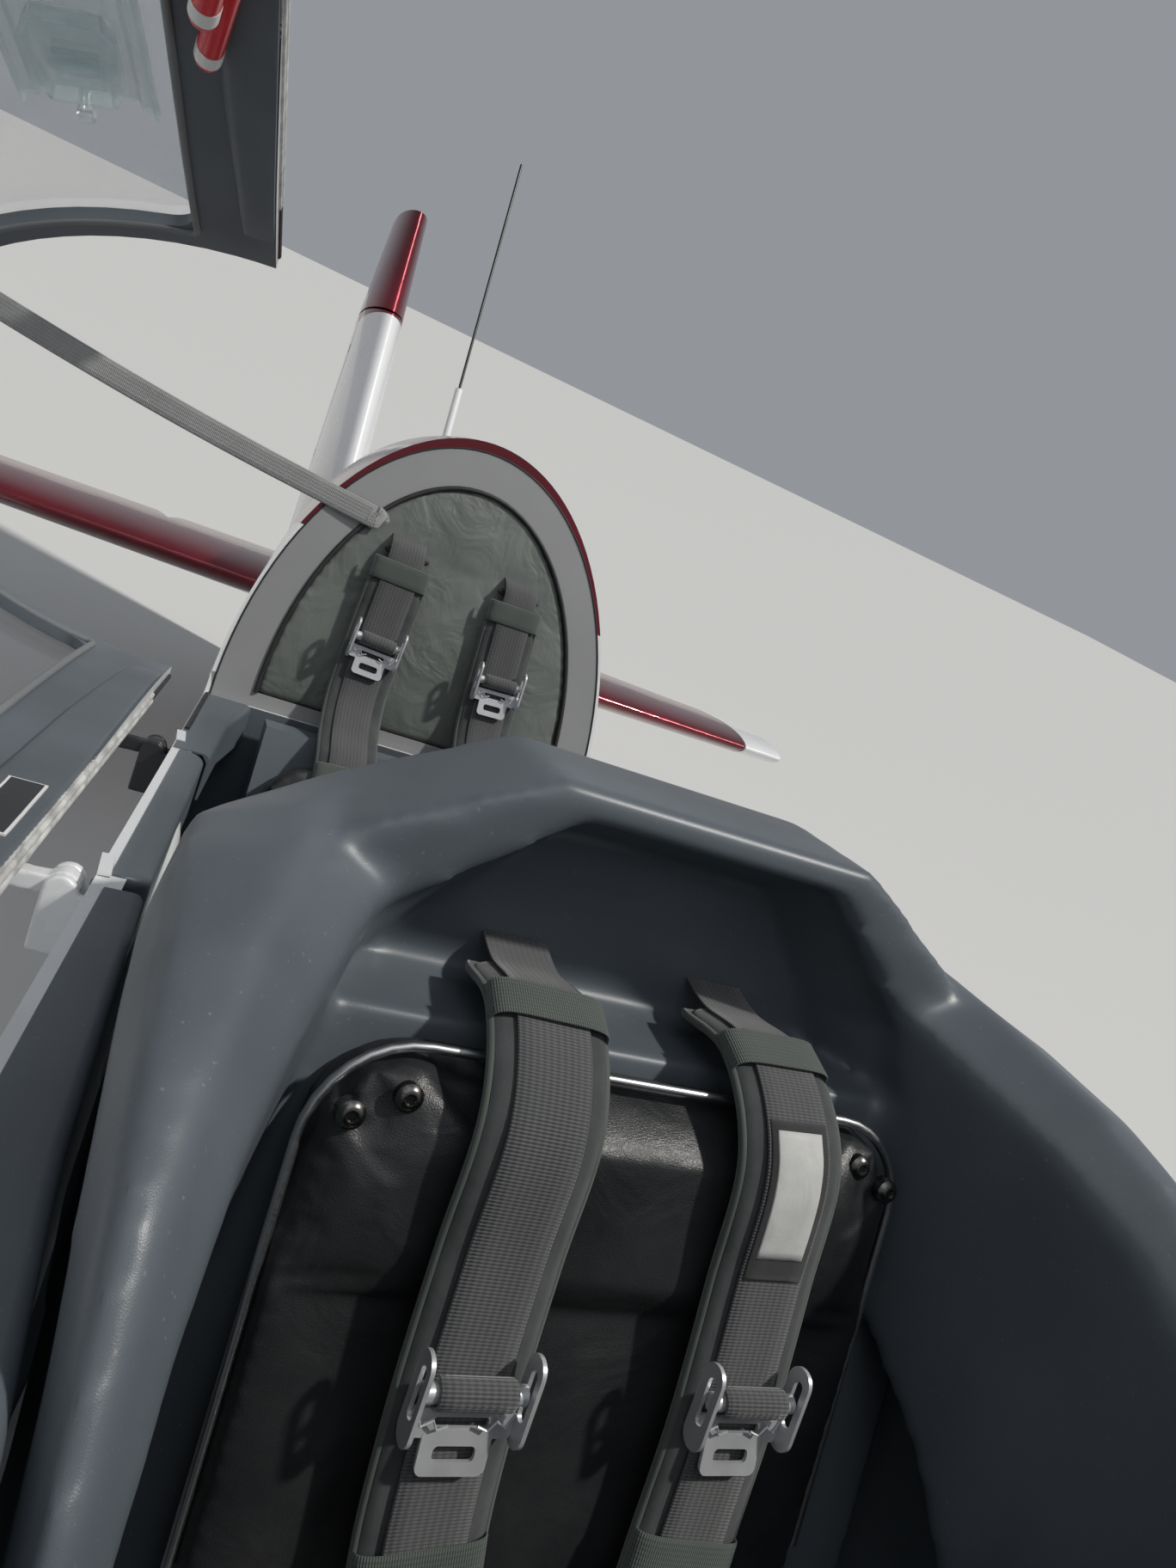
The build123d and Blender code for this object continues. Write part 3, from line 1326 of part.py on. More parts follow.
# Panels, sticks and pedals
FRONT_PANEL_STATION = 2330
PANEL_BOTTOM = 0
PANEL_SHOULDER = 120
deck_share = (FRONT_PANEL_STATION - 12 - FIREWALL) / (DEEPEST - FIREWALL)
front_panel_half = (
    FIREWALL_HALF_WIDTH + deck_share * (COCKPIT_HALF_WIDTH - FIREWALL_HALF_WIDTH) - WALL - SKIN_GAP
)
with BuildPart() as front_panel:
    with BuildSketch(frame_at(FRONT_PANEL_STATION)):
        with Locations((0, (PANEL_BOTTOM + PANEL_SHOULDER) / 2)):
            Rectangle(2 * front_panel_half, PANEL_SHOULDER - PANEL_BOTTOM)
        add(dome(front_panel_half - 14, PANEL_SHOULDER - 1, 280))
    extrude(amount=12)
finish("front_instrument_panel", front_panel)

REAR_PANEL_STATION = 3440
REAR_PANEL_THICKNESS = 10
with BuildPart() as rear_panel:
    with BuildSketch(frame_at(REAR_PANEL_STATION)):
        add(hood_outline(SHELL_WALL + SKIN_GAP))
    extrude(amount=REAR_PANEL_THICKNESS)
finish("rear_instrument_panel", rear_panel)

with BuildPart() as control_sticks:
    for foot in (2640, 3520):
        with BuildSketch(Plane.XY.offset(FLOOR + FLOOR_THICKNESS)):
            with Locations((0, foot)):
                Circle(14)
        extrude(amount=430)
        with BuildSketch(Plane.XY.offset(FLOOR + FLOOR_THICKNESS)):
            with Locations((0, foot)):
                Circle(40)
        extrude(amount=20)
finish("control_sticks", control_sticks)

with BuildPart() as rudder_pedals:
    for foot in (1900, 3000):
        for side in (1, -1):
            with BuildSketch(Plane.XY.offset(FLOOR + FLOOR_THICKNESS)):
                with Locations((side * 140, foot)):
                    Rectangle(90, 16)
            extrude(amount=110)
finish("rudder_pedals", rudder_pedals)

with BuildPart() as front_harness:
    for side in (1, -1):
        with BuildSketch(FRONT_BACK.offset(BACK_CUSHION + SKIN_GAP)):
            with Locations((side * 110, 330)):
                RectangleRounded(70, 280, 8)
        extrude(amount=6)
finish("front_harness", front_harness)

with BuildPart() as rear_harness:
    for side in (1, -1):
        with BuildSketch(RING_PLANE.offset(SKIN_GAP)):
            with Locations((side * 85, 165)):
                RectangleRounded(50, 230, 8)
        extrude(amount=6)
finish("rear_harness", rear_harness)

# Webbing strap that stops the open canopy
STRAP_WIDTH = 30
STRAP_THICKNESS = 2
STRAP_ANGLE = 62
STRAP_START = Vector(-146, 4232, 465)
STRAP_INSET = 52
STRAP_FOLD = 8
STRAP_CLEARANCE = 9
arch_half = half_width(CANOPY_END) - CANOPY_WALL - STRAP_CLEARANCE
arch_rise = RING_TOP - SILL - CANOPY_WALL - STRAP_CLEARANCE
strap_hook = Vector(
    arch_half * cos(radians(STRAP_ANGLE)),
    CANOPY_END - STRAP_INSET + arch_rise * sin(radians(STRAP_ANGLE)) * tan(radians(RAKE)),
    SILL + arch_rise * sin(radians(STRAP_ANGLE)),
)
hook_arm = (strap_hook - Vector(*hinge_start)).rotate(CANOPY_HINGE, -OPEN_ANGLE)
strap_run = Vector(*hinge_start) + hook_arm - STRAP_START
STRAP_PLANE = Plane(origin=STRAP_START, x_dir=(0, 1, 0), z_dir=strap_run)
with BuildPart() as restraint_strap:
    with BuildSketch(STRAP_PLANE):
        Rectangle(STRAP_THICKNESS, STRAP_WIDTH)
    extrude(amount=strap_run.length)
    with BuildSketch(STRAP_PLANE):
        with Locations((STRAP_FOLD / 2, 0)):
            Rectangle(STRAP_FOLD, STRAP_WIDTH)
    extrude(amount=STRAP_THICKNESS)
finish("restraint_strap", restraint_strap)

# Parked attitude: turned about x until the tyres share one ground line
turned = Location((0, 0, 0), (-PARK_ANGLE, 0, 0))
whole = Compound(children=[part.moved(turned) for part in finished.values()])
box = whole.bounding_box()
PARKED = Location((0, -(box.min.Y + box.max.Y) / 2, -box.min.Z)) * turned

if __name__ == "__main__":
    os.makedirs("parts", exist_ok=True)
    for name, part in finished.items():
        parked = part.moved(PARKED)
        parked.label = name
        export_step(parked, f"parts/{name}.step")
    print(f"parked nose-up {PARK_ANGLE:.2f} degrees, box {box.size}")
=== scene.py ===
import json
import math

import bmesh
import bpy
from mathutils import Matrix, Vector, noise
from mathutils.bvhtree import BVHTree


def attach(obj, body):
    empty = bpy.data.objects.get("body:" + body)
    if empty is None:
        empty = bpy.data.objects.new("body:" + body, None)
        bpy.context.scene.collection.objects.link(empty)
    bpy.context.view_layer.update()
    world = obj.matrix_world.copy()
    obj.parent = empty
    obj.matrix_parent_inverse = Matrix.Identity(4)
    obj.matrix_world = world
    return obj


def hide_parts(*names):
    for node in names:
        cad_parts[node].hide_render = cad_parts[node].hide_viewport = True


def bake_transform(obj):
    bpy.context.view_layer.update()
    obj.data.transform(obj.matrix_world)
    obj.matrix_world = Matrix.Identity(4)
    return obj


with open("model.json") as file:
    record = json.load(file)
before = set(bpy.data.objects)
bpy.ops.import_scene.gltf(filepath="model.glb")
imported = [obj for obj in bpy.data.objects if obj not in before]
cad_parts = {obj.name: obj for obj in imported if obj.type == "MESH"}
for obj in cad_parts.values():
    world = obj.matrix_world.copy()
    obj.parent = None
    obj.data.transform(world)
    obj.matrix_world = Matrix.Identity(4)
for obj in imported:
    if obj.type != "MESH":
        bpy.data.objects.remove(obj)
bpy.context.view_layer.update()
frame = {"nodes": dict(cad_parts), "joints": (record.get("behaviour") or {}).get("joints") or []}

# Camera: held at arm's length over the front seat's starboard side, looking aft and down.
# The aircraft's own level frame comes from the propeller's joint: x to port, s aft of the
# spinner's tip, z up from the thrust line, all in metres.
PROPELLER_STATION = 0.25
joints = {joint["name"]: joint for joint in frame["joints"]}
AFT = Vector(joints["propeller_spin"]["axis"]).normalized()
UP = Vector((1, 0, 0)).cross(AFT)
ORIGIN = Vector(joints["propeller_spin"]["pos_m"]) - PROPELLER_STATION * AFT
LEVEL = Matrix((
    (1, AFT.x, UP.x, ORIGIN.x),
    (0, AFT.y, UP.y, ORIGIN.y),
    (0, AFT.z, UP.z, ORIGIN.z),
    (0, 0, 0, 1),
))


def level(x, s, z):
    """Point of the aircraft's level frame, in the row frame."""
    return LEVEL @ Vector((x, s, z))


def level_way(x, s, z):
    """Direction of the level frame, in the row frame."""
    return LEVEL.to_3x3() @ Vector((x, s, z))


EYE = (-0.3641, 2.77, 0.4822)
EYE_AXES = Matrix((
    (0.8727, -0.2694, -0.4072),
    (-0.3260, 0.2993, -0.8967),
    (0.3635, 0.9153, 0.1733),
))
camera_data = bpy.data.cameras.new("camera")
camera_data.sensor_width = 36
camera_data.lens = 23.78
camera_data.clip_start = 0.02
camera_data.clip_end = 400
camera = bpy.data.objects.new("camera", camera_data)
bpy.context.scene.collection.objects.link(camera)
camera.matrix_world = Matrix.Translation(level(*EYE)) @ (
    LEVEL.to_3x3() @ EYE_AXES
).to_quaternion().to_matrix().to_4x4()
bpy.context.scene.camera = camera

# Studio: a pale floor under the wheels, a soft pale surround and one broad, soft sun
# from the port side, high and a little ahead, as in the photograph.
world = bpy.data.worlds.new("studio")
bpy.context.scene.world = world
world.use_nodes = True
world.node_tree.nodes["Background"].inputs["Color"].default_value = (0.80, 0.84, 0.90, 1)
world.node_tree.nodes["Background"].inputs["Strength"].default_value = 0.36
bpy.context.scene.view_settings.view_transform = "Standard"

floor_mesh = bpy.data.meshes.new("floor")
floor_mesh.from_pydata([(-60, -60, 0), (60, -60, 0), (60, 60, 0), (-60, 60, 0)], [], [(0, 1, 2, 3)])
floor = bpy.data.objects.new("floor", floor_mesh)
bpy.context.scene.collection.objects.link(floor)
floor_material = bpy.data.materials.new("floor")
floor_material.use_nodes = True
floor_shader = floor_material.node_tree.nodes["Principled BSDF"]
floor_shader.inputs["Base Color"].default_value = (0.62, 0.62, 0.61, 1)
floor_shader.inputs["Roughness"].default_value = 0.85
floor_mesh.materials.append(floor_material)

SUN_FROM = Vector((0.62, -0.30, 0.92))
sun_data = bpy.data.lights.new("sun", "SUN")
sun_data.energy = 2.5
sun_data.angle = math.radians(3)
sun_data.color = (1.0, 0.97, 0.92)
sun = bpy.data.objects.new("sun", sun_data)
sun.rotation_euler = SUN_FROM.to_track_quat("Z", "Y").to_euler()
bpy.context.scene.collection.objects.link(sun)

SOFTBOX_AT = level(-0.9, 1.6, 2.6)
softbox_data = bpy.data.lights.new("softbox", "AREA")
softbox_data.energy = 12
softbox_data.size = 2.2
softbox = bpy.data.objects.new("softbox", softbox_data)
softbox.location = SOFTBOX_AT
softbox.rotation_euler = (SOFTBOX_AT - level(0, 3.4, 0.2)).to_track_quat("Z", "Y").to_euler()
bpy.context.scene.collection.objects.link(softbox)


# Paint: two-pack gloss white over the composite and welded structure, with faint dust,
# polishing haze and orange peel, and the same in dark red metallic.
def new_material(name):
    """New node material: the material, its nodes, its links and its shader."""
    made = bpy.data.materials.new(name)
    made.use_nodes = True
    tree = made.node_tree
    return made, tree.nodes, tree.links, tree.nodes["Principled BSDF"]


def node(nodes, kind, **values):
    """New node with its properties and its inputs set by name."""
    made = nodes.new(kind)
    for key, value in values.items():
        if hasattr(made, key):
            setattr(made, key, value)
        else:
            made.inputs[key.replace("_", " ")].default_value = value
    return made


def noise_mix(nodes, links, coords, scale, low, high, detail=3.0):
    """Colour that drifts between two values with a noise of the given scale."""
    cloud = node(nodes, "ShaderNodeTexNoise", Scale=scale, Detail=detail)
    links.new(coords, cloud.inputs["Vector"])
    ramp = nodes.new("ShaderNodeValToRGB")
    ramp.color_ramp.elements[0].position = 0.35
    ramp.color_ramp.elements[1].position = 0.68
    ramp.color_ramp.elements[0].color = low
    ramp.color_ramp.elements[1].color = high
    links.new(cloud.outputs["Fac"], ramp.inputs["Fac"])
    return ramp.outputs["Color"]


def bump(nodes, links, shader, height, strength, distance, normal=None):
    """Bump from a height, stacked on an earlier one if it is given."""
    made = node(nodes, "ShaderNodeBump", Strength=strength, Distance=distance)
    links.new(height, made.inputs["Height"])
    if normal is not None:
        links.new(normal, made.inputs["Normal"])
    links.new(made.outputs["Normal"], shader.inputs["Normal"])
    return made.outputs["Normal"]


def uneven_shine(nodes, links, coords, shader, scale, detail, low, high):
    """Roughness that drifts between two values with a noise: gives the noise."""
    haze = node(nodes, "ShaderNodeTexNoise", Scale=scale, Detail=detail)
    links.new(coords, haze.inputs["Vector"])
    spread = node(nodes, "ShaderNodeMapRange", To_Min=low, To_Max=high)
    links.new(haze.outputs["Fac"], spread.inputs["Value"])
    links.new(spread.outputs["Result"], shader.inputs["Roughness"])
    return haze.outputs["Fac"]


def gloss_coat(nodes, links, coords, shader, roughness):
    """Hazy clear coat with faint orange peel: gives the peel's normal."""
    uneven_shine(nodes, links, coords, shader, 9.0, 6.0, roughness - 0.06, roughness + 0.10)
    shader.inputs["Coat Weight"].default_value = 0.6
    shader.inputs["Coat Roughness"].default_value = 0.06
    peel = node(nodes, "ShaderNodeTexNoise", Scale=420.0, Detail=1.0)
    links.new(coords, peel.inputs["Vector"])
    return bump(nodes, links, shader, peel.outputs["Fac"], 0.06, 0.0004)


def paint(name, low, high, roughness, metallic=0.0, flakes=False):
    """Gloss paint with dust, haze and orange peel."""
    made, nodes, links, shader = new_material(name)
    coords = nodes.new("ShaderNodeTexCoord").outputs["Object"]
    links.new(noise_mix(nodes, links, coords, 2.5, low, high), shader.inputs["Base Color"])
    shader.inputs["Metallic"].default_value = metallic
    normal = gloss_coat(nodes, links, coords, shader, roughness)
    if flakes:
        flake = node(nodes, "ShaderNodeTexVoronoi", Scale=2600.0)
        links.new(coords, flake.inputs["Vector"])
        bump(nodes, links, shader, flake.outputs["Distance"], 0.12, 0.0002, normal)
    return made


WHITE = paint("white_paint", (0.74, 0.75, 0.76, 1), (0.82, 0.83, 0.84, 1), 0.26)
MAROON = paint("dark_red_metallic", (0.13, 0.006, 0.014, 1), (0.19, 0.010, 0.020, 1), 0.30, 0.55, True)


def finish_node(name, *choices, pick=None):
    """Gives a CAD node its materials; pick(centre, normal) says which one each face takes."""
    mesh = frame["nodes"][name].data
    mesh.materials.clear()
    for choice in choices:
        mesh.materials.append(choice)
    inverse = LEVEL.inverted()
    turn = inverse.to_3x3()
    for face in mesh.polygons:
        face.material_index = 0 if pick is None else pick(inverse @ face.center, turn @ face.normal)


# Livery: white skins with dark red metallic panels, sprayed over fine masking edges. Each
# painted area is a rule in the aircraft's level frame, so its edge is sharp at any distance.


def calc(nodes, links, operation, *values):
    """Math node on sockets or numbers."""
    made = node(nodes, "ShaderNodeMath", operation=operation)
    for socket, value in zip(made.inputs, values):
        if isinstance(value, (int, float)):
            socket.default_value = value
        else:
            links.new(value, socket)
    return made.outputs[0]


def level_axes(nodes, links):
    """Sockets for x, s and z of the level frame, in metres."""
    coords = nodes.new("ShaderNodeTexCoord").outputs["Object"]
    shifted = node(nodes, "ShaderNodeVectorMath", operation="SUBTRACT")
    shifted.inputs[1].default_value = ORIGIN
    links.new(coords, shifted.inputs[0])
    made = []
    for axis in (Vector((1, 0, 0)), AFT, UP):
        dot = node(nodes, "ShaderNodeVectorMath", operation="DOT_PRODUCT")
        dot.inputs[1].default_value = axis
        links.new(shifted.outputs["Vector"], dot.inputs[0])
        made.append(dot.outputs["Value"])
    return made


def rule_distance(nodes, links, rule):
    """Socket with the distance that a paint rule gives in the level frame."""
    def c(operation, *values):
        """Math node of this material."""
        return calc(nodes, links, operation, *values)

    return rule(c, *level_axes(nodes, links))


def mix_colours(nodes, links, share, first, second):
    """Colour between two, each a socket or a plain colour, by a share from 0 to 1."""
    mixed = node(nodes, "ShaderNodeMix", data_type="RGBA")
    links.new(share, mixed.inputs[0])
    for socket, colour in ((mixed.inputs[6], first), (mixed.inputs[7], second)):
        if isinstance(colour, tuple):
            socket.default_value = colour
        else:
            links.new(colour, socket)
    return mixed.outputs[2]


MASKED_EDGE = 0.0004
MASKED_STEP = 0.00012


def livery(name, rule, low=(0.74, 0.75, 0.76, 1), high=(0.82, 0.83, 0.84, 1), roughness=0.26):
    """White paint with dark red wherever the rule's distance is positive."""
    made, nodes, links, shader = new_material(name)
    coords = nodes.new("ShaderNodeTexCoord").outputs["Object"]
    mask = node(nodes, "ShaderNodeMapRange", From_Min=-MASKED_EDGE, From_Max=MASKED_EDGE)
    links.new(rule_distance(nodes, links, rule), mask.inputs["Value"])
    white = noise_mix(nodes, links, coords, 2.5, low, high)
    red = noise_mix(nodes, links, coords, 3.0, (0.13, 0.006, 0.014, 1), (0.20, 0.010, 0.022, 1))
    coat = mix_colours(nodes, links, mask.outputs["Result"], white, red)
    links.new(coat, shader.inputs["Base Color"])
    metal_share = calc(nodes, links, "MULTIPLY", mask.outputs["Result"], 0.55)
    links.new(metal_share, shader.inputs["Metallic"])
    normal = gloss_coat(nodes, links, coords, shader, roughness)
    bump(nodes, links, shader, mask.outputs["Result"], 0.5, MASKED_STEP, normal)
    return made


STRIPE_EDGE = 0.422
STRIPE_STATION = 4.237


def crown_stripe(c, x, s, z):
    """Broad stripe over the turtledeck's crown, its edge falling aft with the deck."""
    fall = c("MULTIPLY", c("SUBTRACT", s, STRIPE_STATION), 0.055)
    return c("SUBTRACT", z, c("SUBTRACT", STRIPE_EDGE, fall))


def nose_stripe(c, x, s, z):
    """Stripe on the front deck and cowl that narrows toward the windshield."""
    half = c("SUBTRACT", 0.34, c("MULTIPLY", s, 0.115))
    return c("SUBTRACT", half, c("ABSOLUTE", x))


def fin_top(c, x, s, z):
    """Top of the fin and rudder, cut on a slight rake."""
    return c("SUBTRACT", z, c("SUBTRACT", 1.62, c("MULTIPLY", s, 0.10)))


STAB_NOTCH = 0.41
STAB_NOTCH_HALF = 0.045


def stab_front(c, x, s, z):
    """All the stabilizer but its rear edge, with one sharp white notch near the root."""
    side = c("ABSOLUTE", x)
    edge = c("SUBTRACT", 6.26, c("MULTIPLY", side, 0.115))
    away = c("DIVIDE", c("ABSOLUTE", c("SUBTRACT", side, STAB_NOTCH)), STAB_NOTCH_HALF)
    peak = c("MAXIMUM", 0.0, c("SUBTRACT", 1.0, away))
    return c("SUBTRACT", c("SUBTRACT", edge, c("MULTIPLY", peak, 0.30)), s)


def wing_front(c, x, s, z):
    """Swept panel along the wing's leading edge that starts in a point and ends in the tip."""
    side = c("ABSOLUTE", x)
    lead = c("ADD", 1.70, c("MULTIPLY", side, 0.075))
    depth = c("MULTIPLY", c("SUBTRACT", side, 0.95), 0.16)
    tip = c("SUBTRACT", side, c("ADD", 3.35, c("MULTIPLY", c("SUBTRACT", s, 2.0), 0.55)))
    return c("MAXIMUM", c("SUBTRACT", c("ADD", lead, depth), s), tip)


def fairing_spear(c, x, s, z):
    """Spear along a wheel fairing's flank."""
    middle = c("ABSOLUTE", c("SUBTRACT", z, c("SUBTRACT", c("MULTIPLY", s, 0.06), 1.18)))
    half = c("MULTIPLY", c("SUBTRACT", 2.05, s), 0.085)
    return c("SUBTRACT", half, middle)


DECK_PAINT = livery("turtledeck_paint", crown_stripe)
NOSE_PAINT = livery("nose_paint", nose_stripe)
FIN_PAINT = livery("fin_paint", fin_top)
STAB_PAINT = livery("stabilizer_paint", stab_front)
WING_PAINT = livery("wing_paint", wing_front)
FAIRING_PAINT = livery("fairing_paint", fairing_spear)
for name, coat in (
    ("fin", FIN_PAINT), ("rudder", FIN_PAINT), ("horizontal_stabilizer", STAB_PAINT), ("elevator", WHITE),
    ("tail_cone", WHITE), ("belly_panel", WHITE), ("cowl_upper", NOSE_PAINT), ("cowl_lower", WHITE),
    ("front_deck", NOSE_PAINT),
    ("wing_left", WING_PAINT), ("wing_right", WING_PAINT), ("aileron_left", WING_PAINT),
    ("aileron_right", WING_PAINT), ("wheel_fairing_left", FAIRING_PAINT),
    ("wheel_fairing_right", FAIRING_PAINT), ("gear_spring", WHITE), ("spinner", MAROON),
):
    finish_node(name, coat)

# Restraint strap: grey nylon webbing, 30 mm wide, held in the ring at one end and at the
# canopy's arch at the other. It holds the open canopy.


def spline_points(points, steps):
    """Smooth curve through the points, as Catmull-Rom spans."""
    points = [Vector(p) for p in points]
    padded = [2 * points[0] - points[1], *points, 2 * points[-1] - points[-2]]
    made = []
    for i in range(1, len(padded) - 2):
        a, b, c, d = padded[i - 1:i + 3]
        for k in range(steps):
            t = k / steps
            made.append(0.5 * (
                2 * b + (c - a) * t + (2 * a - 5 * b + 4 * c - d) * t * t
                + (3 * b - a - 3 * c + d) * t ** 3
            ))
    made.append(points[-1])
    return made


def new_piece(name, mesh):
    """New object with a mesh, in the scene."""
    piece = bpy.data.objects.new(name, mesh)
    bpy.context.scene.collection.objects.link(piece)
    return piece


def band(name, points, normals, width, thickness, steps=10):
    """Webbing along a smooth path: width across, face along the normals, UVs in metres."""
    path = spline_points(points, steps)
    faces_to = spline_points(normals, steps)
    mesh = bpy.data.meshes.new(name)
    bm = bmesh.new()
    uv = bm.loops.layers.uv.new("weave")
    edge = 0.0012
    profile = [(-0.5, 0), (-0.5 + edge / width, 0.5), (-0.25, 0.5), (0, 0.5), (0.25, 0.5),
               (0.5 - edge / width, 0.5), (0.5, 0), (0.5 - edge / width, -0.5), (0.25, -0.5),
               (0, -0.5), (-0.25, -0.5), (-0.5 + edge / width, -0.5)]
    rings, run, along = [], [], 0.0
    for i, point in enumerate(path):
        ahead = (path[min(i + 1, len(path) - 1)] - path[max(i - 1, 0)]).normalized()
        side = ahead.cross(faces_to[i]).normalized()
        out = side.cross(ahead).normalized()
        if i:
            along += (point - path[i - 1]).length
        run.append(along)
        rings.append([
            bm.verts.new(point + side * u * width + out * v * thickness) for u, v in profile
        ])
    count = len(profile)
    for i in range(len(rings) - 1):
        for k in range(count):
            face = bm.faces.new((
                rings[i][k], rings[i][(k + 1) % count], rings[i + 1][(k + 1) % count], rings[i + 1][k]
            ))
            face.smooth = True
            across = (profile[k][0] * width, profile[(k + 1) % count][0] * width)
            for loop, value in zip(face.loops, (
                (across[0], run[i]), (across[1], run[i]), (across[1], run[i + 1]), (across[0], run[i + 1])
            )):
                loop[uv].uv = value
    bm.faces.new(list(reversed(rings[0])))
    bm.faces.new(rings[-1])
    bmesh.ops.recalc_face_normals(bm, faces=bm.faces)
    bm.to_mesh(mesh)
    bm.free()
    return new_piece(name, mesh)


def webbing(name, dark, light, rib=0.0021, columns=0.0046):
    """Woven nylon: ribs across, warp columns along, soft sheen and a little fuzz."""
    made, nodes, links, shader = new_material(name)
    uv = nodes.new("ShaderNodeUVMap")
    uv.uv_map = "weave"
    parts = nodes.new("ShaderNodeSeparateXYZ")
    links.new(uv.outputs["UV"], parts.inputs["Vector"])
    waves = []
    for output, period in (("Y", rib), ("X", columns)):
        scaled = node(nodes, "ShaderNodeMath", operation="MULTIPLY")
        scaled.inputs[1].default_value = 2 * math.pi / period
        links.new(parts.outputs[output], scaled.inputs[0])
        wave = node(nodes, "ShaderNodeMath", operation="SINE")
        links.new(scaled.outputs[0], wave.inputs[0])
        waves.append(wave)
    weave = node(nodes, "ShaderNodeMath", operation="MULTIPLY_ADD")
    weave.inputs[1].default_value = 0.45
    links.new(waves[1].outputs[0], weave.inputs[0])
    links.new(waves[0].outputs[0], weave.inputs[2])
    shade = nodes.new("ShaderNodeValToRGB")
    shade.color_ramp.elements[0].color = dark
    shade.color_ramp.elements[1].color = light
    spread = node(nodes, "ShaderNodeMapRange", From_Min=-1.3, From_Max=1.3)
    links.new(weave.outputs[0], spread.inputs["Value"])
    links.new(spread.outputs["Result"], shade.inputs["Fac"])
    coords = nodes.new("ShaderNodeTexCoord").outputs["Object"]
    wear = noise_mix(nodes, links, coords, 14.0, (0.82, 0.82, 0.82, 1), (1, 1, 1, 1), 5.0)
    mixed = node(nodes, "ShaderNodeMix", data_type="RGBA", blend_type="MULTIPLY")
    mixed.inputs[0].default_value = 1.0
    links.new(shade.outputs["Color"], mixed.inputs[6])
    links.new(wear, mixed.inputs[7])
    links.new(mixed.outputs[2], shader.inputs["Base Color"])
    shader.inputs["Roughness"].default_value = 0.72
    shader.inputs["Sheen Weight"].default_value = 0.35
    bump(nodes, links, shader, weave.outputs[0], 0.55, 0.0004)
    return made


STRAP_WIDTH = 0.030
STRAP_THICKNESS = 0.002
STRAP_ROOT = (-0.146, 4.232, 0.465)
CANOPY_END = 4.201
CANOPY_WALL = 0.018
HALF_WIDTH = 0.385
TAPER_START = 3.2
TAPER = 0.1025


def half_width(s):
    """Half the fuselage's width at its sill."""
    return HALF_WIDTH - TAPER * max(0, s - TAPER_START)


canopy_joint = joints["canopy_hinge"]
SHUT = Matrix.Translation(canopy_joint["pos_m"]) @ Matrix.Rotation(
    math.radians(canopy_joint["range_deg"][1]), 4, Vector(canopy_joint["axis"])
) @ Matrix.Translation(-Vector(canopy_joint["pos_m"]))
OPEN = SHUT.inverted()


def on_canopy(x, s, z):
    """Point of the shut canopy, moved to where it stands open."""
    return OPEN @ level(x, s, z)


HOOK_ANGLE = math.radians(62)
HOOK_CLEARANCE = 0.009
ARCH_WIDTH = 0.052
ARCH_RISE = 0.416
ARCH_LEAN = math.tan(math.radians(7))
SILL = 0.170
hook_rise = ARCH_RISE * math.sin(HOOK_ANGLE)
hook_half = half_width(CANOPY_END) - CANOPY_WALL - HOOK_CLEARANCE
STRAP_HOOK = LEVEL.inverted() @ on_canopy(
    hook_half * math.cos(HOOK_ANGLE), CANOPY_END - ARCH_WIDTH + hook_rise * ARCH_LEAN, SILL + hook_rise
)
strap_run = STRAP_HOOK - Vector(STRAP_ROOT)
strap_path, strap_faces = [], []
for x, s, z in ((0.014, 0.014, -0.016), (0.012, 0.010, -0.003), (0.004, 0.002, 0.001)):
    strap_path.append(level(*(Vector(STRAP_ROOT) + Vector((x, s, z)))))
for share in (0.0, 0.12, 0.3, 0.5, 0.7, 0.88, 1.0):
    dip = 0.008 * math.sin(math.pi * share)
    strap_path.append(level(*(Vector(STRAP_ROOT) + strap_run * share - Vector((0, 0, dip)))))
for twist in (0, 0, 0, 0, 1, 3, 4, 3, 1, 0):
    turn = math.radians(twist)
    strap_faces.append(level_way(math.sin(turn), -math.cos(turn), 0))
strap = band("canopy_strap", strap_path, strap_faces, STRAP_WIDTH, STRAP_THICKNESS, steps=12)
STRAP_GREY = webbing("strap_grey_webbing", (0.26, 0.265, 0.26, 1), (0.42, 0.425, 0.42, 1))
strap.data.materials.append(STRAP_GREY)
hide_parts("restraint_strap")
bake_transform(strap)

# Ring and turtledeck front: a flat laminate arch in light grey, with a black rubber bead
# pushed over its inner edge, that closes the rear cockpit and carries the shoulder straps.


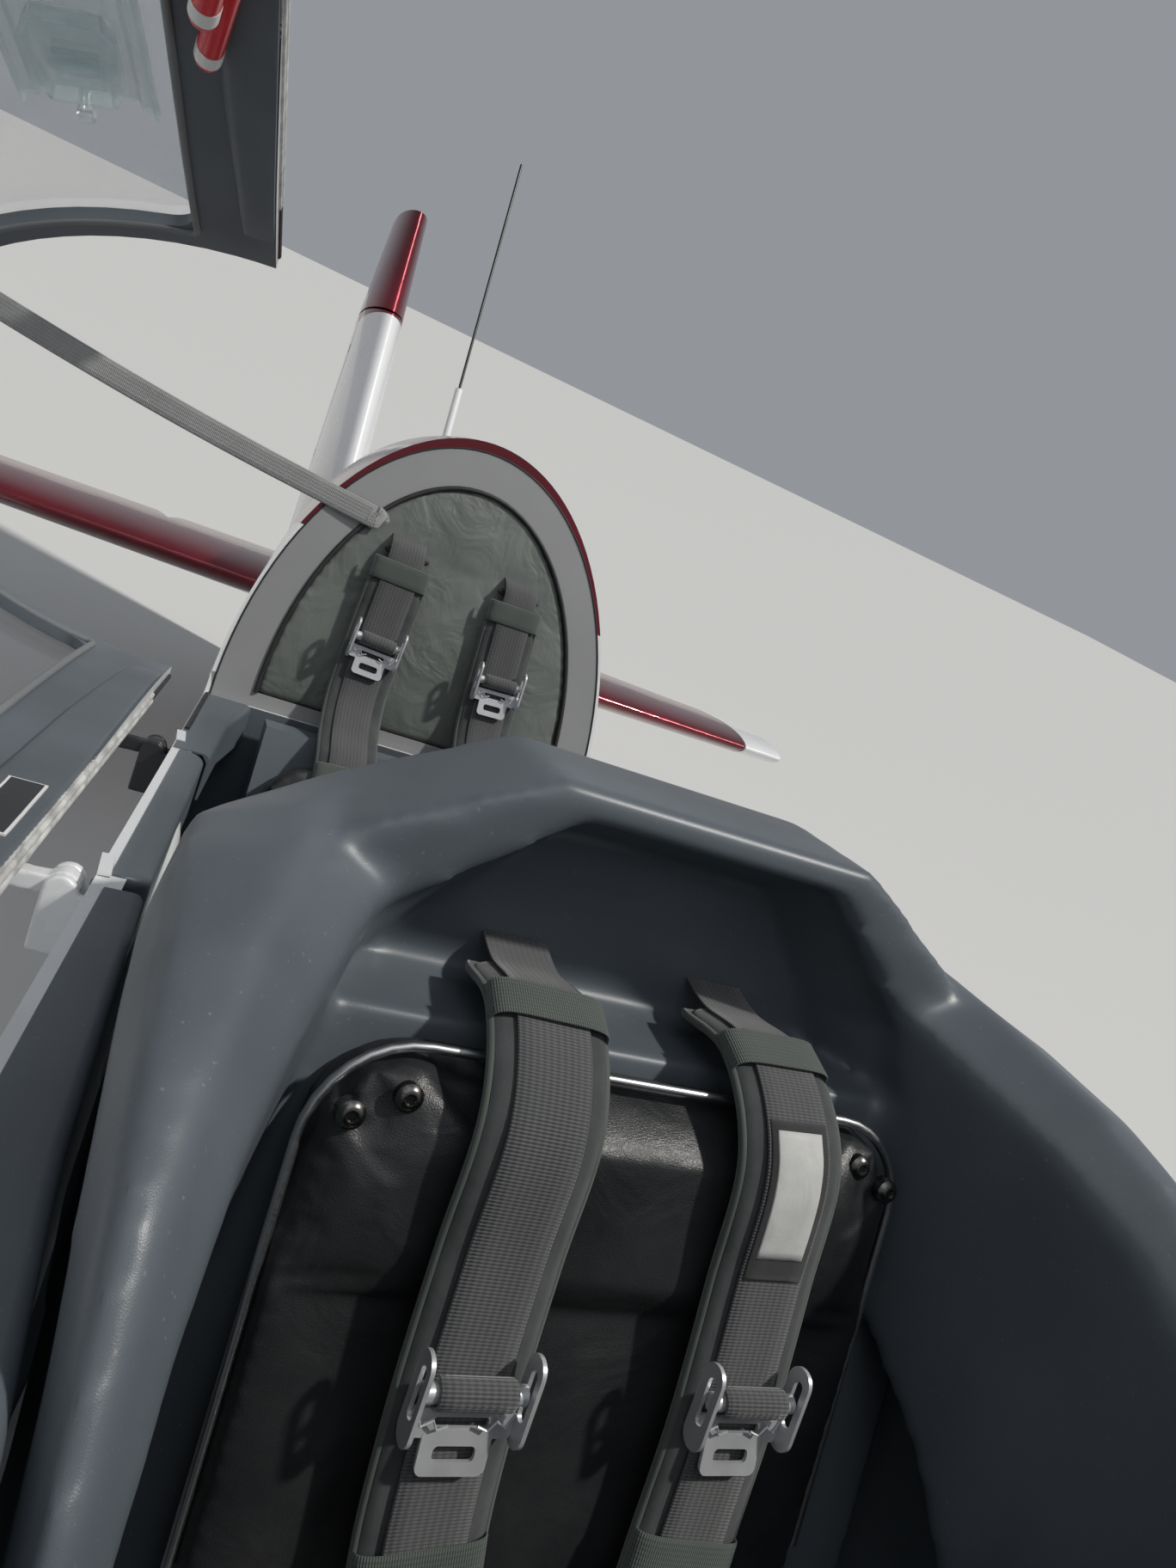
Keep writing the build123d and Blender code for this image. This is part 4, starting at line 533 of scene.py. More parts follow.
def moulded(name, low, high, roughness, grain=1500.0, depth=0.10):
    """Satin moulded plastic with a fine grain, soft drift, dust and rubbed edges."""
    made, nodes, links, shader = new_material(name)
    coords = nodes.new("ShaderNodeTexCoord").outputs["Object"]
    base = noise_mix(nodes, links, coords, 5.0, low, high, 6.0)
    edges = nodes.new("ShaderNodeNewGeometry")
    rub = node(nodes, "ShaderNodeMapRange", From_Min=0.53, From_Max=0.62, To_Max=0.35)
    links.new(edges.outputs["Pointiness"], rub.inputs["Value"])
    worn = (*[min(1, c * 1.5) for c in high[:3]], 1)
    rubbed = mix_colours(nodes, links, rub.outputs["Result"], base, worn)
    specks = node(nodes, "ShaderNodeTexNoise", Scale=310.0, Detail=3.0)
    links.new(coords, specks.inputs["Vector"])
    dust = node(nodes, "ShaderNodeMapRange", From_Min=0.68, From_Max=0.76, To_Max=0.30)
    links.new(specks.outputs["Fac"], dust.inputs["Value"])
    dusty = mix_colours(nodes, links, dust.outputs["Result"], rubbed, (0.33, 0.32, 0.30, 1))
    links.new(dusty, shader.inputs["Base Color"])
    uneven_shine(nodes, links, coords, shader, 11.0, 8.0, roughness - 0.08, roughness + 0.12)
    pebble = node(nodes, "ShaderNodeTexVoronoi", Scale=grain)
    links.new(coords, pebble.inputs["Vector"])
    bump(nodes, links, shader, pebble.outputs["Distance"], depth, 0.0005)
    return made


SHELL_GREY = moulded("moulded_blue_grey", (0.076, 0.090, 0.104, 1), (0.106, 0.124, 0.142, 1), 0.38)
TRIM_GREY = moulded("trim_light_grey", (0.20, 0.205, 0.205, 1), (0.25, 0.255, 0.255, 1), 0.44, 900.0, 0.05)
finish_node("ring_frame", TRIM_GREY)


def rubber(name, tone, roughness=0.55):
    """Soft black rubber with pale bloom."""
    made, nodes, links, shader = new_material(name)
    coords = nodes.new("ShaderNodeTexCoord").outputs["Object"]
    high = tuple(v * 1.9 for v in tone)
    links.new(noise_mix(nodes, links, coords, 40.0, (*tone, 1), (*high, 1), 8.0), shader.inputs["Base Color"])
    shader.inputs["Roughness"].default_value = roughness
    grain = node(nodes, "ShaderNodeTexNoise", Scale=900.0, Detail=2.0)
    links.new(coords, grain.inputs["Vector"])
    bump(nodes, links, shader, grain.outputs["Fac"], 0.18, 0.0003)
    return made


BLACK_RUBBER = rubber("black_rubber", (0.012, 0.012, 0.013))


def join_parts(name, parts, material, smooth_angle=None):
    """One object from several meshes given as (vertices, faces)."""
    mesh = bpy.data.meshes.new(name)
    vertices, faces = [], []
    for part_vertices, part_faces in parts:
        base = len(vertices)
        vertices += [tuple(v) for v in part_vertices]
        faces += [tuple(base + i for i in face) for face in part_faces]
    mesh.from_pydata(vertices, [], faces)
    mesh.validate()
    bm = bmesh.new()
    bm.from_mesh(mesh)
    bmesh.ops.recalc_face_normals(bm, faces=bm.faces)
    bm.to_mesh(mesh)
    bm.free()
    mesh.materials.append(material)
    if smooth_angle is not None:
        for face in mesh.polygons:
            face.use_smooth = True
        mesh.set_sharp_from_angle(angle=math.radians(smooth_angle))
    return new_piece(name, mesh)


def tube(points, radius, sides=12, closed=False):
    """Round bar along the points, as (vertices, faces)."""
    points = [Vector(p) for p in points]
    count = len(points)
    vertices, faces = [], []
    guide = Vector((0.31, 0.22, 0.93))
    for i, point in enumerate(points):
        if closed:
            ahead = (points[(i + 1) % count] - points[i - 1]).normalized()
        else:
            ahead = (points[min(i + 1, count - 1)] - points[max(i - 1, 0)]).normalized()
        side = ahead.cross(guide).normalized()
        guide = side.cross(ahead).normalized()
        for k in range(sides):
            turn = 2 * math.pi * k / sides
            vertices.append(point + side * radius * math.cos(turn) + guide * radius * math.sin(turn))
    for i in range(count if closed else count - 1):
        here, after = i * sides, (i + 1) % count * sides
        for k in range(sides):
            j = (k + 1) % sides
            faces.append((here + k, here + j, after + j, after + k))
    if not closed:
        faces.append(tuple(range(sides)))
        faces.append(tuple((count - 1) * sides + k for k in range(sides)))
    return vertices, faces


def carry(piece, body):
    """Lets a new piece ride on a body."""
    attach(piece, body)


RING_FOOT = (4.206, 0.170)
RING_OUTER = (0.2818, 0.4463)
RING_WIDTH = 0.062


def on_ring(x, rise, ahead=0.0):
    """Point on the ring's front plane, at a height over its foot, some way ahead of it."""
    return level(x, RING_FOOT[0] + rise * ARCH_LEAN - ahead, RING_FOOT[1] + rise)


def ring_curve(inset, foot, steps=48):
    """Arch in the ring's plane, drawn in by the inset, as (x, rise) from port to starboard."""
    made = []
    for k in range(steps + 1):
        turn = math.pi * k / steps
        made.append((
            (RING_OUTER[0] - inset) * math.cos(turn),
            foot + (RING_OUTER[1] * math.cos(math.radians(7)) - inset - foot) * math.sin(turn),
        ))
    return made


bead_line = [on_ring(x, rise, 0.0015) for x, rise in ring_curve(RING_WIDTH, 0.020)]
ring_bead = join_parts("ring_edge_bead", [tube(bead_line, 0.0032, 10)], BLACK_RUBBER, 60)
carry(ring_bead, "airframe")
seam_line = [on_ring(x, rise, 0.0004) for x, rise in ring_curve(0.007, 0.0)]
ring_seam = join_parts("ring_outer_seal", [tube(seam_line, 0.0012, 8)], BLACK_RUBBER, 60)
carry(ring_seam, "airframe")

# Rear head upholstery: grey-green leather over soft foam, pulled tight by one seam across
# and two down, with a dark slot at each shoulder where the harness comes through.


def leather(name, low, high, roughness=0.46, fold=0.006):
    """Grained hide with creases, polished high spots and dusty hollows."""
    made, nodes, links, shader = new_material(name)
    coords = nodes.new("ShaderNodeTexCoord").outputs["Object"]
    links.new(noise_mix(nodes, links, coords, 9.0, low, high, 6.0), shader.inputs["Base Color"])
    uneven_shine(nodes, links, coords, shader, 28.0, 5.0, roughness - 0.12, roughness + 0.14)
    crease = node(nodes, "ShaderNodeTexNoise", Scale=13.0, Detail=3.0, Distortion=1.4)
    links.new(coords, crease.inputs["Vector"])
    normal = bump(nodes, links, shader, crease.outputs["Fac"], 0.75, fold)
    pores = node(nodes, "ShaderNodeTexVoronoi", Scale=620.0, feature="DISTANCE_TO_EDGE")
    links.new(coords, pores.inputs["Vector"])
    bump(nodes, links, shader, pores.outputs["Distance"], 0.35, 0.0007, normal)
    return made


SAGE_LEATHER = leather("sage_grey_leather", (0.105, 0.118, 0.108, 1), (0.155, 0.170, 0.158, 1))
BLACK_LEATHER = leather("black_leather", (0.012, 0.013, 0.014, 1), (0.026, 0.027, 0.029, 1), 0.40, 0.003)


def cad_copy(name, source, material):
    """Copy of a CAD node as a new piece in one material."""
    piece = new_piece(name, frame["nodes"][source].data.copy())
    piece.data.materials.clear()
    piece.data.materials.append(material)
    return piece


def settle(piece):
    """Turns a piece's modifiers into its plain mesh."""
    bpy.context.view_layer.update()
    graph = bpy.context.evaluated_depsgraph_get()
    done = bpy.data.meshes.new_from_object(piece.evaluated_get(graph))
    piece.modifiers.clear()
    piece.data = done
    return done


CLOTH_FRAMES = 20


def upholster(name, source, material, seam, voxel=0.006, cap=0.014, firm=3.6):
    """Inflates a CAD cushion under cloth: seam(point) is true where the cover is held down."""
    covered = cad_copy(name, source, material)
    remesh(covered, voxel, 4)
    mesh = covered.data
    flat = [v.co.copy() for v in mesh.vertices]
    inverse = LEVEL.inverted()
    held = covered.vertex_groups.new(name="held")
    held.add([v.index for v in mesh.vertices if seam(inverse @ v.co)], 1.0, "REPLACE")
    cloth = covered.modifiers.new("cover", "CLOTH")
    cloth.settings.vertex_group_mass = "held"
    cloth.settings.quality = 5
    cloth.settings.mass = 0.25
    cloth.settings.tension_stiffness = 12
    cloth.settings.compression_stiffness = 8
    cloth.settings.shear_stiffness = 4
    cloth.settings.bending_stiffness = 0.4
    cloth.settings.use_pressure = True
    cloth.settings.uniform_pressure_force = firm
    cloth.settings.effector_weights.gravity = 0
    cloth.collision_settings.use_collision = False
    cloth.point_cache.frame_start = 1
    cloth.point_cache.frame_end = CLOTH_FRAMES
    for moment in range(1, CLOTH_FRAMES + 1):
        bpy.context.scene.frame_set(moment)
    graph = bpy.context.evaluated_depsgraph_get()
    done = bpy.data.meshes.new_from_object(covered.evaluated_get(graph))
    covered.modifiers.clear()
    covered.data = done
    bpy.context.scene.frame_set(1)
    for vertex, start in zip(done.vertices, flat):
        moved = vertex.co - start
        if moved.length > cap:
            vertex.co = start + moved.normalized() * cap
    rounder = covered.modifiers.new("rounder", "SUBSURF")
    rounder.levels = rounder.render_levels = 1
    for face in settle(covered).polygons:
        face.use_smooth = True
    return covered


def remesh(piece, voxel, rounds, factor=0.5):
    """Fuses the piece's solids into one skin and rounds its edges."""
    material = piece.data.materials[0]
    modifier = piece.modifiers.new("fuse", "REMESH")
    modifier.mode = "VOXEL"
    modifier.voxel_size = voxel
    soften = piece.modifiers.new("soften", "SMOOTH")
    soften.iterations = rounds
    soften.factor = factor
    done = settle(piece)
    done.materials.clear()
    done.materials.append(material)
    for face in done.polygons:
        face.use_smooth = True


HEAD_SEAM_RISE = 0.262
HEAD_SEAM_HALF = 0.095
SEAM_HALF = 0.0045


def head_seam(p):
    """Back and rim of the head upholstery, its cross seam and its two upright seams."""
    rise = p.z - RING_FOOT[1]
    depth = p.y - RING_FOOT[0] - rise * ARCH_LEAN
    rim = (p.x / (RING_OUTER[0] - RING_WIDTH)) ** 2 + (max(0, rise - 0.02) / (0.442 - RING_WIDTH - 0.02)) ** 2
    if depth > 0.008 or rim > 0.93 or rise < 0.028:
        return True
    if abs(rise - HEAD_SEAM_RISE - 0.25 * abs(p.x)) < SEAM_HALF:
        return True
    return rise < HEAD_SEAM_RISE and abs(abs(p.x) - HEAD_SEAM_HALF) < SEAM_HALF


head_pad = upholster("rear_head_upholstery", "rear_headrest", SAGE_LEATHER, head_seam)
carry(head_pad, "airframe")
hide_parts("rear_headrest")

# Canopy: one laminate frame, white outside and satin grey inside, round a blown acrylic
# bubble. Its parts are laid out shut, in the level frame, and swung open with the hinge.
CANOPY_BASE = 0.175
RAIL_TOP = 0.270
ARCH_FRONT = 0.0524


def skin_tree(name, turn):
    """Search tree of a CAD node's faces, turned into the level frame."""
    mesh = frame["nodes"][name].data
    faces = [tuple(face.vertices) for face in mesh.polygons]
    return BVHTree.FromPolygons([turn @ v.co for v in mesh.vertices], faces)


SHUT_TURN = LEVEL.inverted() @ SHUT
FRAME_TREE = skin_tree("canopy_frame", SHUT_TURN)
GLASS_TREE = skin_tree("canopy_glass", SHUT_TURN)


def inside_of(tree, s, z, side, inset=0.0):
    """Point on the canopy's inner face beside a station and height, drawn in by the inset."""
    hit, normal = tree.ray_cast(Vector((0, s, z)), Vector((side, 0, 0)))[:2]
    if hit is None:
        hit, normal = Vector((side * (half_width(s) - CANOPY_WALL), s, z)), Vector((-side, 0, 0))
    if normal.x * side > 0:
        normal = -normal
    return hit + normal * inset


def frame_face(centre, normal):
    """White for the frame's outer skin and its lower edge, grey for its inside."""
    centre = SHUT_TURN @ LEVEL @ centre
    out = SHUT_TURN.to_3x3() @ LEVEL.to_3x3() @ normal
    radial = Vector((centre.x, 0, centre.z - SILL)).normalized()
    below = out.z < -0.7 and centre.z < CANOPY_BASE + 0.006
    return 0 if out.dot(radial) > 0.35 or out.y > 0.8 or below else 1


finish_node("canopy_frame", WHITE, SHELL_GREY, pick=frame_face)


def clear_plastic(name, tint, roughness=0.03, alpha=0.22):
    """Clear acrylic with fine wiping scratches and a faint tint."""
    made, nodes, links, shader = new_material(name)
    coords = nodes.new("ShaderNodeTexCoord").outputs["Object"]
    low = tuple(v * 0.97 for v in tint)
    links.new(noise_mix(nodes, links, coords, 6.0, (*low, 1), (*tint, 1)), shader.inputs["Base Color"])
    shader.inputs["Transmission Weight"].default_value = 1.0
    shader.inputs["IOR"].default_value = 1.45
    shader.inputs["Alpha"].default_value = alpha
    swirl = node(nodes, "ShaderNodeTexNoise", Scale=70.0, Detail=8.0, Distortion=2.0)
    links.new(coords, swirl.inputs["Vector"])
    spread = node(
        nodes, "ShaderNodeMapRange", From_Min=0.4, From_Max=0.75, To_Min=roughness, To_Max=roughness + 0.07
    )
    links.new(swirl.outputs["Fac"], spread.inputs["Value"])
    links.new(spread.outputs["Result"], shader.inputs["Roughness"])
    return made


ACRYLIC = clear_plastic("canopy_acrylic", (0.93, 0.95, 0.95))
EDGE_ACRYLIC = clear_plastic("vent_acrylic", (0.70, 0.84, 0.83), 0.06, 0.50)
finish_node("canopy_glass", ACRYLIC)


def sweep(name, sections, material, smooth_angle=35):
    """Closed skin through sections of as many points each, already in place."""
    count = len(sections[0])
    vertices = [p for section in sections for p in section]
    faces = [tuple(range(count)), tuple((len(sections) - 1) * count + k for k in range(count))]
    for i in range(len(sections) - 1):
        for k in range(count):
            j = (k + 1) % count
            faces.append((i * count + k, i * count + j, (i + 1) * count + j, (i + 1) * count + k))
    return join_parts(name, [(vertices, faces)], material, smooth_angle)


def rear_edge(z):
    """Station of the window's rear edge at a height."""
    return CANOPY_END + (z - CANOPY_BASE) * ARCH_LEAN - ARCH_FRONT


def arch_inside(turn, side_lean=0.004, inset=0.0):
    """Point on the inner face of the rear arch beside the window, at an angle up from the rail."""
    z = 0.4
    for _ in range(6):
        s = rear_edge(z) + side_lean
        start = Vector((0, s, 0.20))
        hit = FRAME_TREE.ray_cast(start, Vector((math.cos(turn), 0, math.sin(turn))))[0]
        if hit is None:
            hit = start + Vector((math.cos(turn) * 0.25, 0, math.sin(turn) * 0.38))
        z = hit.z
    inward = Vector((-math.cos(turn), 0, -math.sin(turn)))
    return hit + inward * inset


# Window lip: the moulding's rolled inner edge round the clear bubble, in a lighter grey than the moulding as painted
# light on the sunlit roll.
LIP_CORNER = 0.006
lip_line = []
front_foot = 2.668
for side in (1, -1):
    run = []
    stations = [front_foot + (rear_edge(RAIL_TOP) - LIP_CORNER - front_foot) * k / 60 for k in range(61)]
    run += [inside_of(FRAME_TREE, s, RAIL_TOP - 0.004, side, 0.001) for s in stations]
    for k in range(1, 9):
        turn = math.radians(90 * k / 8)
        s = rear_edge(RAIL_TOP) - LIP_CORNER + (LIP_CORNER + 0.0045) * math.sin(turn)
        z = RAIL_TOP + LIP_CORNER - (LIP_CORNER + 0.004) * math.cos(turn)
        run.append(inside_of(FRAME_TREE, s, z, side, 0.001))
    low_turn = math.atan2(run[-1].z - 0.20, abs(run[-1].x))
    arch = []
    for k in range(1, 25):
        turn = low_turn + (math.pi / 2 - low_turn) * k / 24
        point = arch_inside(turn, 0.004, 0.001)
        arch.append(Vector((side * point.x, point.y, point.z)))
    run += arch
    lip_line.append(run)
whole_lip = lip_line[0] + list(reversed(lip_line[1]))[1:]
# Painted light: the lip is the same moulding as the frame's grey inside, given a lighter grey for the sun it catches.
LIP_PAINTED_LIGHT_GREY = moulded("lip_painted_light_grey", (0.150, 0.158, 0.165, 1), (0.19, 0.20, 0.205, 1), 0.40, 900.0, 0.05)
window_lip = join_parts(
    "canopy_window_lip", [tube([on_canopy(*p) for p in whole_lip], 0.0042, 10)], LIP_PAINTED_LIGHT_GREY, 70
)
carry(window_lip, "canopy")

# Canopy rails: a boxed stiffener moulded along each side under the window, its upper edge
# a soft crease, that takes the latches and the hinge arms.
RAIL_STATIONS = [2.70 + (4.125 - 2.70) * k / 40 for k in range(41)]


def crease_height(s):
    """Height of the stiffener's upper edge."""
    if s > 3.83:
        return 0.225 - 0.045 * (s - 3.83)
    return 0.225 + 0.018 * (3.83 - s)


for side, side_name in ((1, "left"), (-1, "right")):
    sections = []
    for k, s in enumerate(RAIL_STATIONS):
        ends = min(1.0, (k + 0.15) / 2, (len(RAIL_STATIONS) - 0.85 - k) / 2)
        top = crease_height(s)
        proud = 0.0065 * ends
        section = []
        for z, inset in (
            (0.1765, -0.003), (0.1765, proud * 0.8), (0.180, proud), ((0.18 + top) / 2, proud * 1.06),
            (top - 0.010, proud), (top - 0.004, proud * 0.80), (top, proud * 0.30), (top + 0.002, -0.003),
        ):
            section.append(on_canopy(*inside_of(FRAME_TREE, s, z, side, inset)))
        sections.append(section)
    rail = sweep(f"canopy_rail_{side_name}", sections, SHELL_GREY, 50)
    carry(rail, "canopy")

# Canopy seal: two white rubber beads either side of a dark joint, bonded under each lower
# edge, with a knurled inner lip, that turn into one black tube toward the rear arch.
WHITE_RUBBER = rubber("white_rubber", (0.36, 0.36, 0.35), 0.5)
SEAL_END = 4.055
for side, side_name in ((1, "left"), (-1, "right")):
    for inset, drop, radius, first, last, material, kind in (
        (0.0046, 0.0004, 0.0034, 2.66, SEAL_END, WHITE_RUBBER, "outer_bead"),
        (0.0122, 0.0004, 0.0032, 2.66, SEAL_END, WHITE_RUBBER, "inner_bead"),
        (0.0084, 0.0006, 0.0010, 2.66, SEAL_END, BLACK_RUBBER, "joint"),
        (0.0100, 0.0008, 0.0042, SEAL_END + 0.004, 4.192, BLACK_RUBBER, "tube"),
    ):
        line = [on_canopy(side * (half_width(s) - inset), s, CANOPY_BASE + drop)
                for s in [first + (last - first) * k / 60 for k in range(61)]]
        seal = join_parts(f"canopy_seal_{kind}_{side_name}", [tube(line, radius, 10)], material, 60)
        carry(seal, "canopy")
    knurl, steps = [], 280
    for k in range(steps + 1):
        s = 2.66 + (SEAL_END - 2.66) * k / steps
        out = 0.0009 if k % 2 else 0.0
        knurl.append(on_canopy(side * (half_width(s) - 0.0172 - out), s, CANOPY_BASE + 0.0008))
    lip = join_parts(f"canopy_seal_lip_{side_name}", [tube(knurl, 0.0013, 6)], WHITE_RUBBER, 60)
    carry(lip, "canopy")

# Hinge goosenecks: cast arms under the canopy's starboard edge that swing in forked
# brackets bolted to the tub, edges rounded, in white enamel; the rearmost are near-black as painted shade.
# Painted shade: aft of this station the hinge arms and brackets take the near-black below, which stands for the
# shadow they sit in.
SHADED_FROM = 3.75
PAINTED_SHADE_BLACK = moulded("painted_shade_black", (0.014, 0.015, 0.017, 1), (0.024, 0.025, 0.028, 1), 0.34, 400.0, 0.03)
for name, body in (("canopy_hinge_arms", "canopy"), ("canopy_hinge_brackets", "airframe")):
    for rear, cast_tone in ((False, WHITE), (True, PAINTED_SHADE_BLACK)):
        cast_part = cad_copy(f"{name}_{'rear' if rear else 'front'}", name, cast_tone)
        work = bmesh.new()
        work.from_mesh(cast_part.data)
        bmesh.ops.remove_doubles(work, verts=work.verts, dist=1e-6)
        others = [v for v in work.verts if ((LEVEL.inverted() @ v.co).y > SHADED_FROM) != rear]
        bmesh.ops.delete(work, geom=others, context="VERTS")
        work.to_mesh(cast_part.data)
        work.free()
        remesh(cast_part, 0.0016, 5)
        carry(cast_part, body)
        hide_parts(name)

# Latch handles: two red vinyl grips with white bands on steel levers, pivoted on the port
# rail, one for each seat.
RED_VINYL = moulded("red_vinyl", (0.60, 0.006, 0.016, 1), (0.72, 0.012, 0.026, 1), 0.22, 300.0, 0.02)
BAND_WHITE = moulded("band_white", (0.62, 0.62, 0.61, 1), (0.72, 0.72, 0.71, 1), 0.35, 300.0, 0.02)
LATCH_AIM = Vector((0.010, -0.088, -0.017)).normalized()
LATCH_TIPS = (Vector((0.289, 3.770, 0.2315)), Vector((0.2755, 3.668, 0.2235)))
LATCH_RADIUS = 0.0112
BAND_LENGTH = 0.017
LATCH_LENGTH = 0.150


def lathe(base, axis, profile, sides=32):
    """Turned body from (distance along, radius) pairs, as (vertices, faces)."""
    axis = Vector(axis).normalized()
    side = axis.cross(Vector((0.2, 0.1, 0.97))).normalized()
    other = axis.cross(side)
    vertices, faces = [], []
    for along, radius in profile:
        for k in range(sides):
            turn = 2 * math.pi * k / sides
            out = side * math.cos(turn) + other * math.sin(turn)
            vertices.append(base + axis * along + out * max(radius, 1e-5))
    for i in range(len(profile) - 1):
        for k in range(sides):
            j = (k + 1) % sides
            faces.append((i * sides + k, i * sides + j, (i + 1) * sides + j, (i + 1) * sides + k))
    faces.append(tuple(range(sides)))
    faces.append(tuple((len(profile) - 1) * sides + k for k in range(sides)))
    return vertices, faces


def swung(part):
    """A part given shut in the level frame, moved to where it stands open."""
    vertices, faces = part
    return [on_canopy(*v) for v in vertices], faces


TIP_ROUND = [(-LATCH_RADIUS * math.sin(t), LATCH_RADIUS * math.cos(t) ** 0.7) for t in
             [math.radians(88 - 11 * k) for k in range(8)]]
grips, bands, levers = [], [], []
for tip in LATCH_TIPS:
    grips.append(swung(lathe(tip, LATCH_AIM, TIP_ROUND + [
        (0.0, LATCH_RADIUS), (LATCH_LENGTH - 0.010, LATCH_RADIUS),
        (LATCH_LENGTH - 0.004, LATCH_RADIUS - 0.002), (LATCH_LENGTH, LATCH_RADIUS - 0.005),
    ])))
    for start in (0.001, LATCH_LENGTH - 0.036):
        end = start + BAND_LENGTH
        bands.append(swung(lathe(tip, LATCH_AIM, [
            (start, LATCH_RADIUS - 0.001), (start, LATCH_RADIUS + 0.0005), (end, LATCH_RADIUS + 0.0005),
            (end, LATCH_RADIUS - 0.001),
        ])))
    pivot = tip + LATCH_AIM * (LATCH_LENGTH - 0.011)
    wall = inside_of(FRAME_TREE, pivot.y, pivot.z, 1, -0.002)
    levers.append(swung(lathe(pivot, wall - pivot, [
        (0, 0.009), ((wall - pivot).length * 0.55, 0.009), ((wall - pivot).length * 0.55, 0.013),
        ((wall - pivot).length, 0.015),
    ])))
for name, parts, material, kind in (
    ("latch_grips", grips, RED_VINYL, "latch_red"), ("latch_bands", bands, BAND_WHITE, "latch_red"),
    ("latch_pivots", levers, TRIM_GREY, "bright_steel"),
):
    latch_piece = join_parts(name, parts, material, 40)
    carry(latch_piece, "canopy")
    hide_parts("canopy_latches")

# Vent: a clear sliding door in two bonded clear channels, with a moulded air scoop and a
# knob, over the port side of the bubble.


def on_glass(s, z, inset):
    """Point inside the bubble's port side, shut."""
    return inside_of(GLASS_TREE, s, z, 1, inset)


def vent_bar(stations, z_at, width, height, base):
    """Clear bar along the bubble: a loft of small rectangles that stand on the glass."""
    made = []
    for s in stations:
        z = z_at(s)
        low, high = on_glass(s, z - width / 2, base), on_glass(s, z + width / 2, base)
        low_in, high_in = on_glass(s, z - width / 2, base + height), on_glass(s, z + width / 2, base + height)
        made.append([on_canopy(*p) for p in (low, high, high_in, low_in)])
    return made


VENT_STATIONS = [3.600 + (3.932 - 3.600) * k / 16 for k in range(17)]
vent_pieces = []
for k, (edge, lean) in enumerate(((0.401, -0.022), (0.297, -0.026))):
    def height_at(s, edge=edge, lean=lean):
        """Height of this channel at a station."""
        return edge + lean * (s - 3.93)

    vent_pieces.append(sweep(f"vent_channel_{k}", vent_bar(VENT_STATIONS, height_at, 0.017, 0.0040, 0.0004),
                             EDGE_ACRYLIC, 30))

    def lip_at(s, edge=edge, lean=lean, k=k):
        """Height of this channel's raised lip at a station."""
        return edge + lean * (s - 3.93) + (0.006 if k == 0 else -0.006)

    vent_pieces.append(sweep(f"vent_channel_lip_{k}", vent_bar(VENT_STATIONS, lip_at, 0.0035, 0.0110, 0.0010),
                             EDGE_ACRYLIC, 30))
door = []
for s in [3.690 + (3.912 - 3.690) * k / 12 for k in range(13)]:
    low, high = 0.302 + (3.912 - s) * 0.02, 0.396 + (3.912 - s) * 0.02
    ring = [on_glass(s, low + (high - low) * j / 6, 0.0050) for j in range(7)]
    ring += [on_glass(s, high - (high - low) * j / 6, 0.0078) for j in range(7)]
    door.append([on_canopy(*p) for p in ring])
vent_pieces.append(sweep("vent_door", door, EDGE_ACRYLIC, 30))
scoop_rings = []
for depth, grow in (
    (0.0078, 0.0), (0.022, 0.003), (0.030, 0.006), (0.030, 0.0025), (0.022, 0.0), (0.0090, -0.003),
):
    ring = []
    for u, v in ((-0.036, 0.0), (-0.036, -0.052), (-0.027, -0.072), (0.027, -0.072), (0.036, -0.052),
                 (0.036, 0.0), (0.024, 0.026), (-0.024, 0.026)):
        scale = 1 + grow / 0.04
        ring.append(on_glass(3.862 + v * scale, 0.350 + u * scale, depth))
    scoop_rings.append([on_canopy(*p) for p in ring])
vent_pieces.append(sweep("vent_scoop", scoop_rings, EDGE_ACRYLIC, 30))
slot_rings = []
for s in (3.846, 3.866):
    slot_rings.append([on_canopy(*on_glass(s, z, inset)) for z, inset in (
        (0.330, 0.009), (0.370, 0.009), (0.370, 0.016), (0.330, 0.016))])
vent_pieces.append(sweep("vent_slot_bar", slot_rings, EDGE_ACRYLIC, 30))
knob_at = on_glass(3.920, 0.352, 0.006)
knob_aim = (on_glass(3.920, 0.352, 0.05) - on_glass(3.920, 0.352, 0.0)).normalized()
vent_pieces.append(join_parts("vent_knob", [swung(lathe(knob_at, knob_aim, [
    (0.0, 0.005), (0.012, 0.005), (0.013, 0.0085), (0.022, 0.0085), (0.025, 0.006),
]))], EDGE_ACRYLIC, 40))
for piece in vent_pieces:
    carry(piece, "canopy")
    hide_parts("vent_panel")

# Placard: a blank black plate with a thin white border, bonded inside the starboard rail.
PLATE_BLACK = moulded("placard_black", (0.010, 0.010, 0.011, 1), (0.018, 0.018, 0.019, 1), 0.32, 500.0, 0.02)


def rail_plate(s0, s1, z0, z1, inset, rim):
    """Thin plate on the starboard rail between two stations and heights, as sections."""
    made = []
    for k in range(9):
        s = s0 + rim + (s1 - s0 - 2 * rim) * k / 8
        ring = [inside_of(FRAME_TREE, s, z, -1, i) for z, i in (
            (z0 + rim, inset - 0.004), (z1 - rim, inset - 0.004), (z1 - rim, inset), (z0 + rim, inset))]
        made.append([on_canopy(*p) for p in ring])
    return made


for name, inset, rim, material in (
    ("placard_border", 0.0082, 0.0, BAND_WHITE), ("placard_plate", 0.0086, 0.0022, PLATE_BLACK),
):
    plate = sweep(name, rail_plate(3.500, 3.612, 0.187, 0.2155, inset, rim), material, 30)
    carry(plate, "canopy")

# Sill covers: grey moulded strips that hide the tub's upper tubes beside both seats. Each
# leaves a white edge of skin outside it and rolls down over its inner edge.
COVER_ROLL = 0.008
COVER_THICKNESS = 0.0016


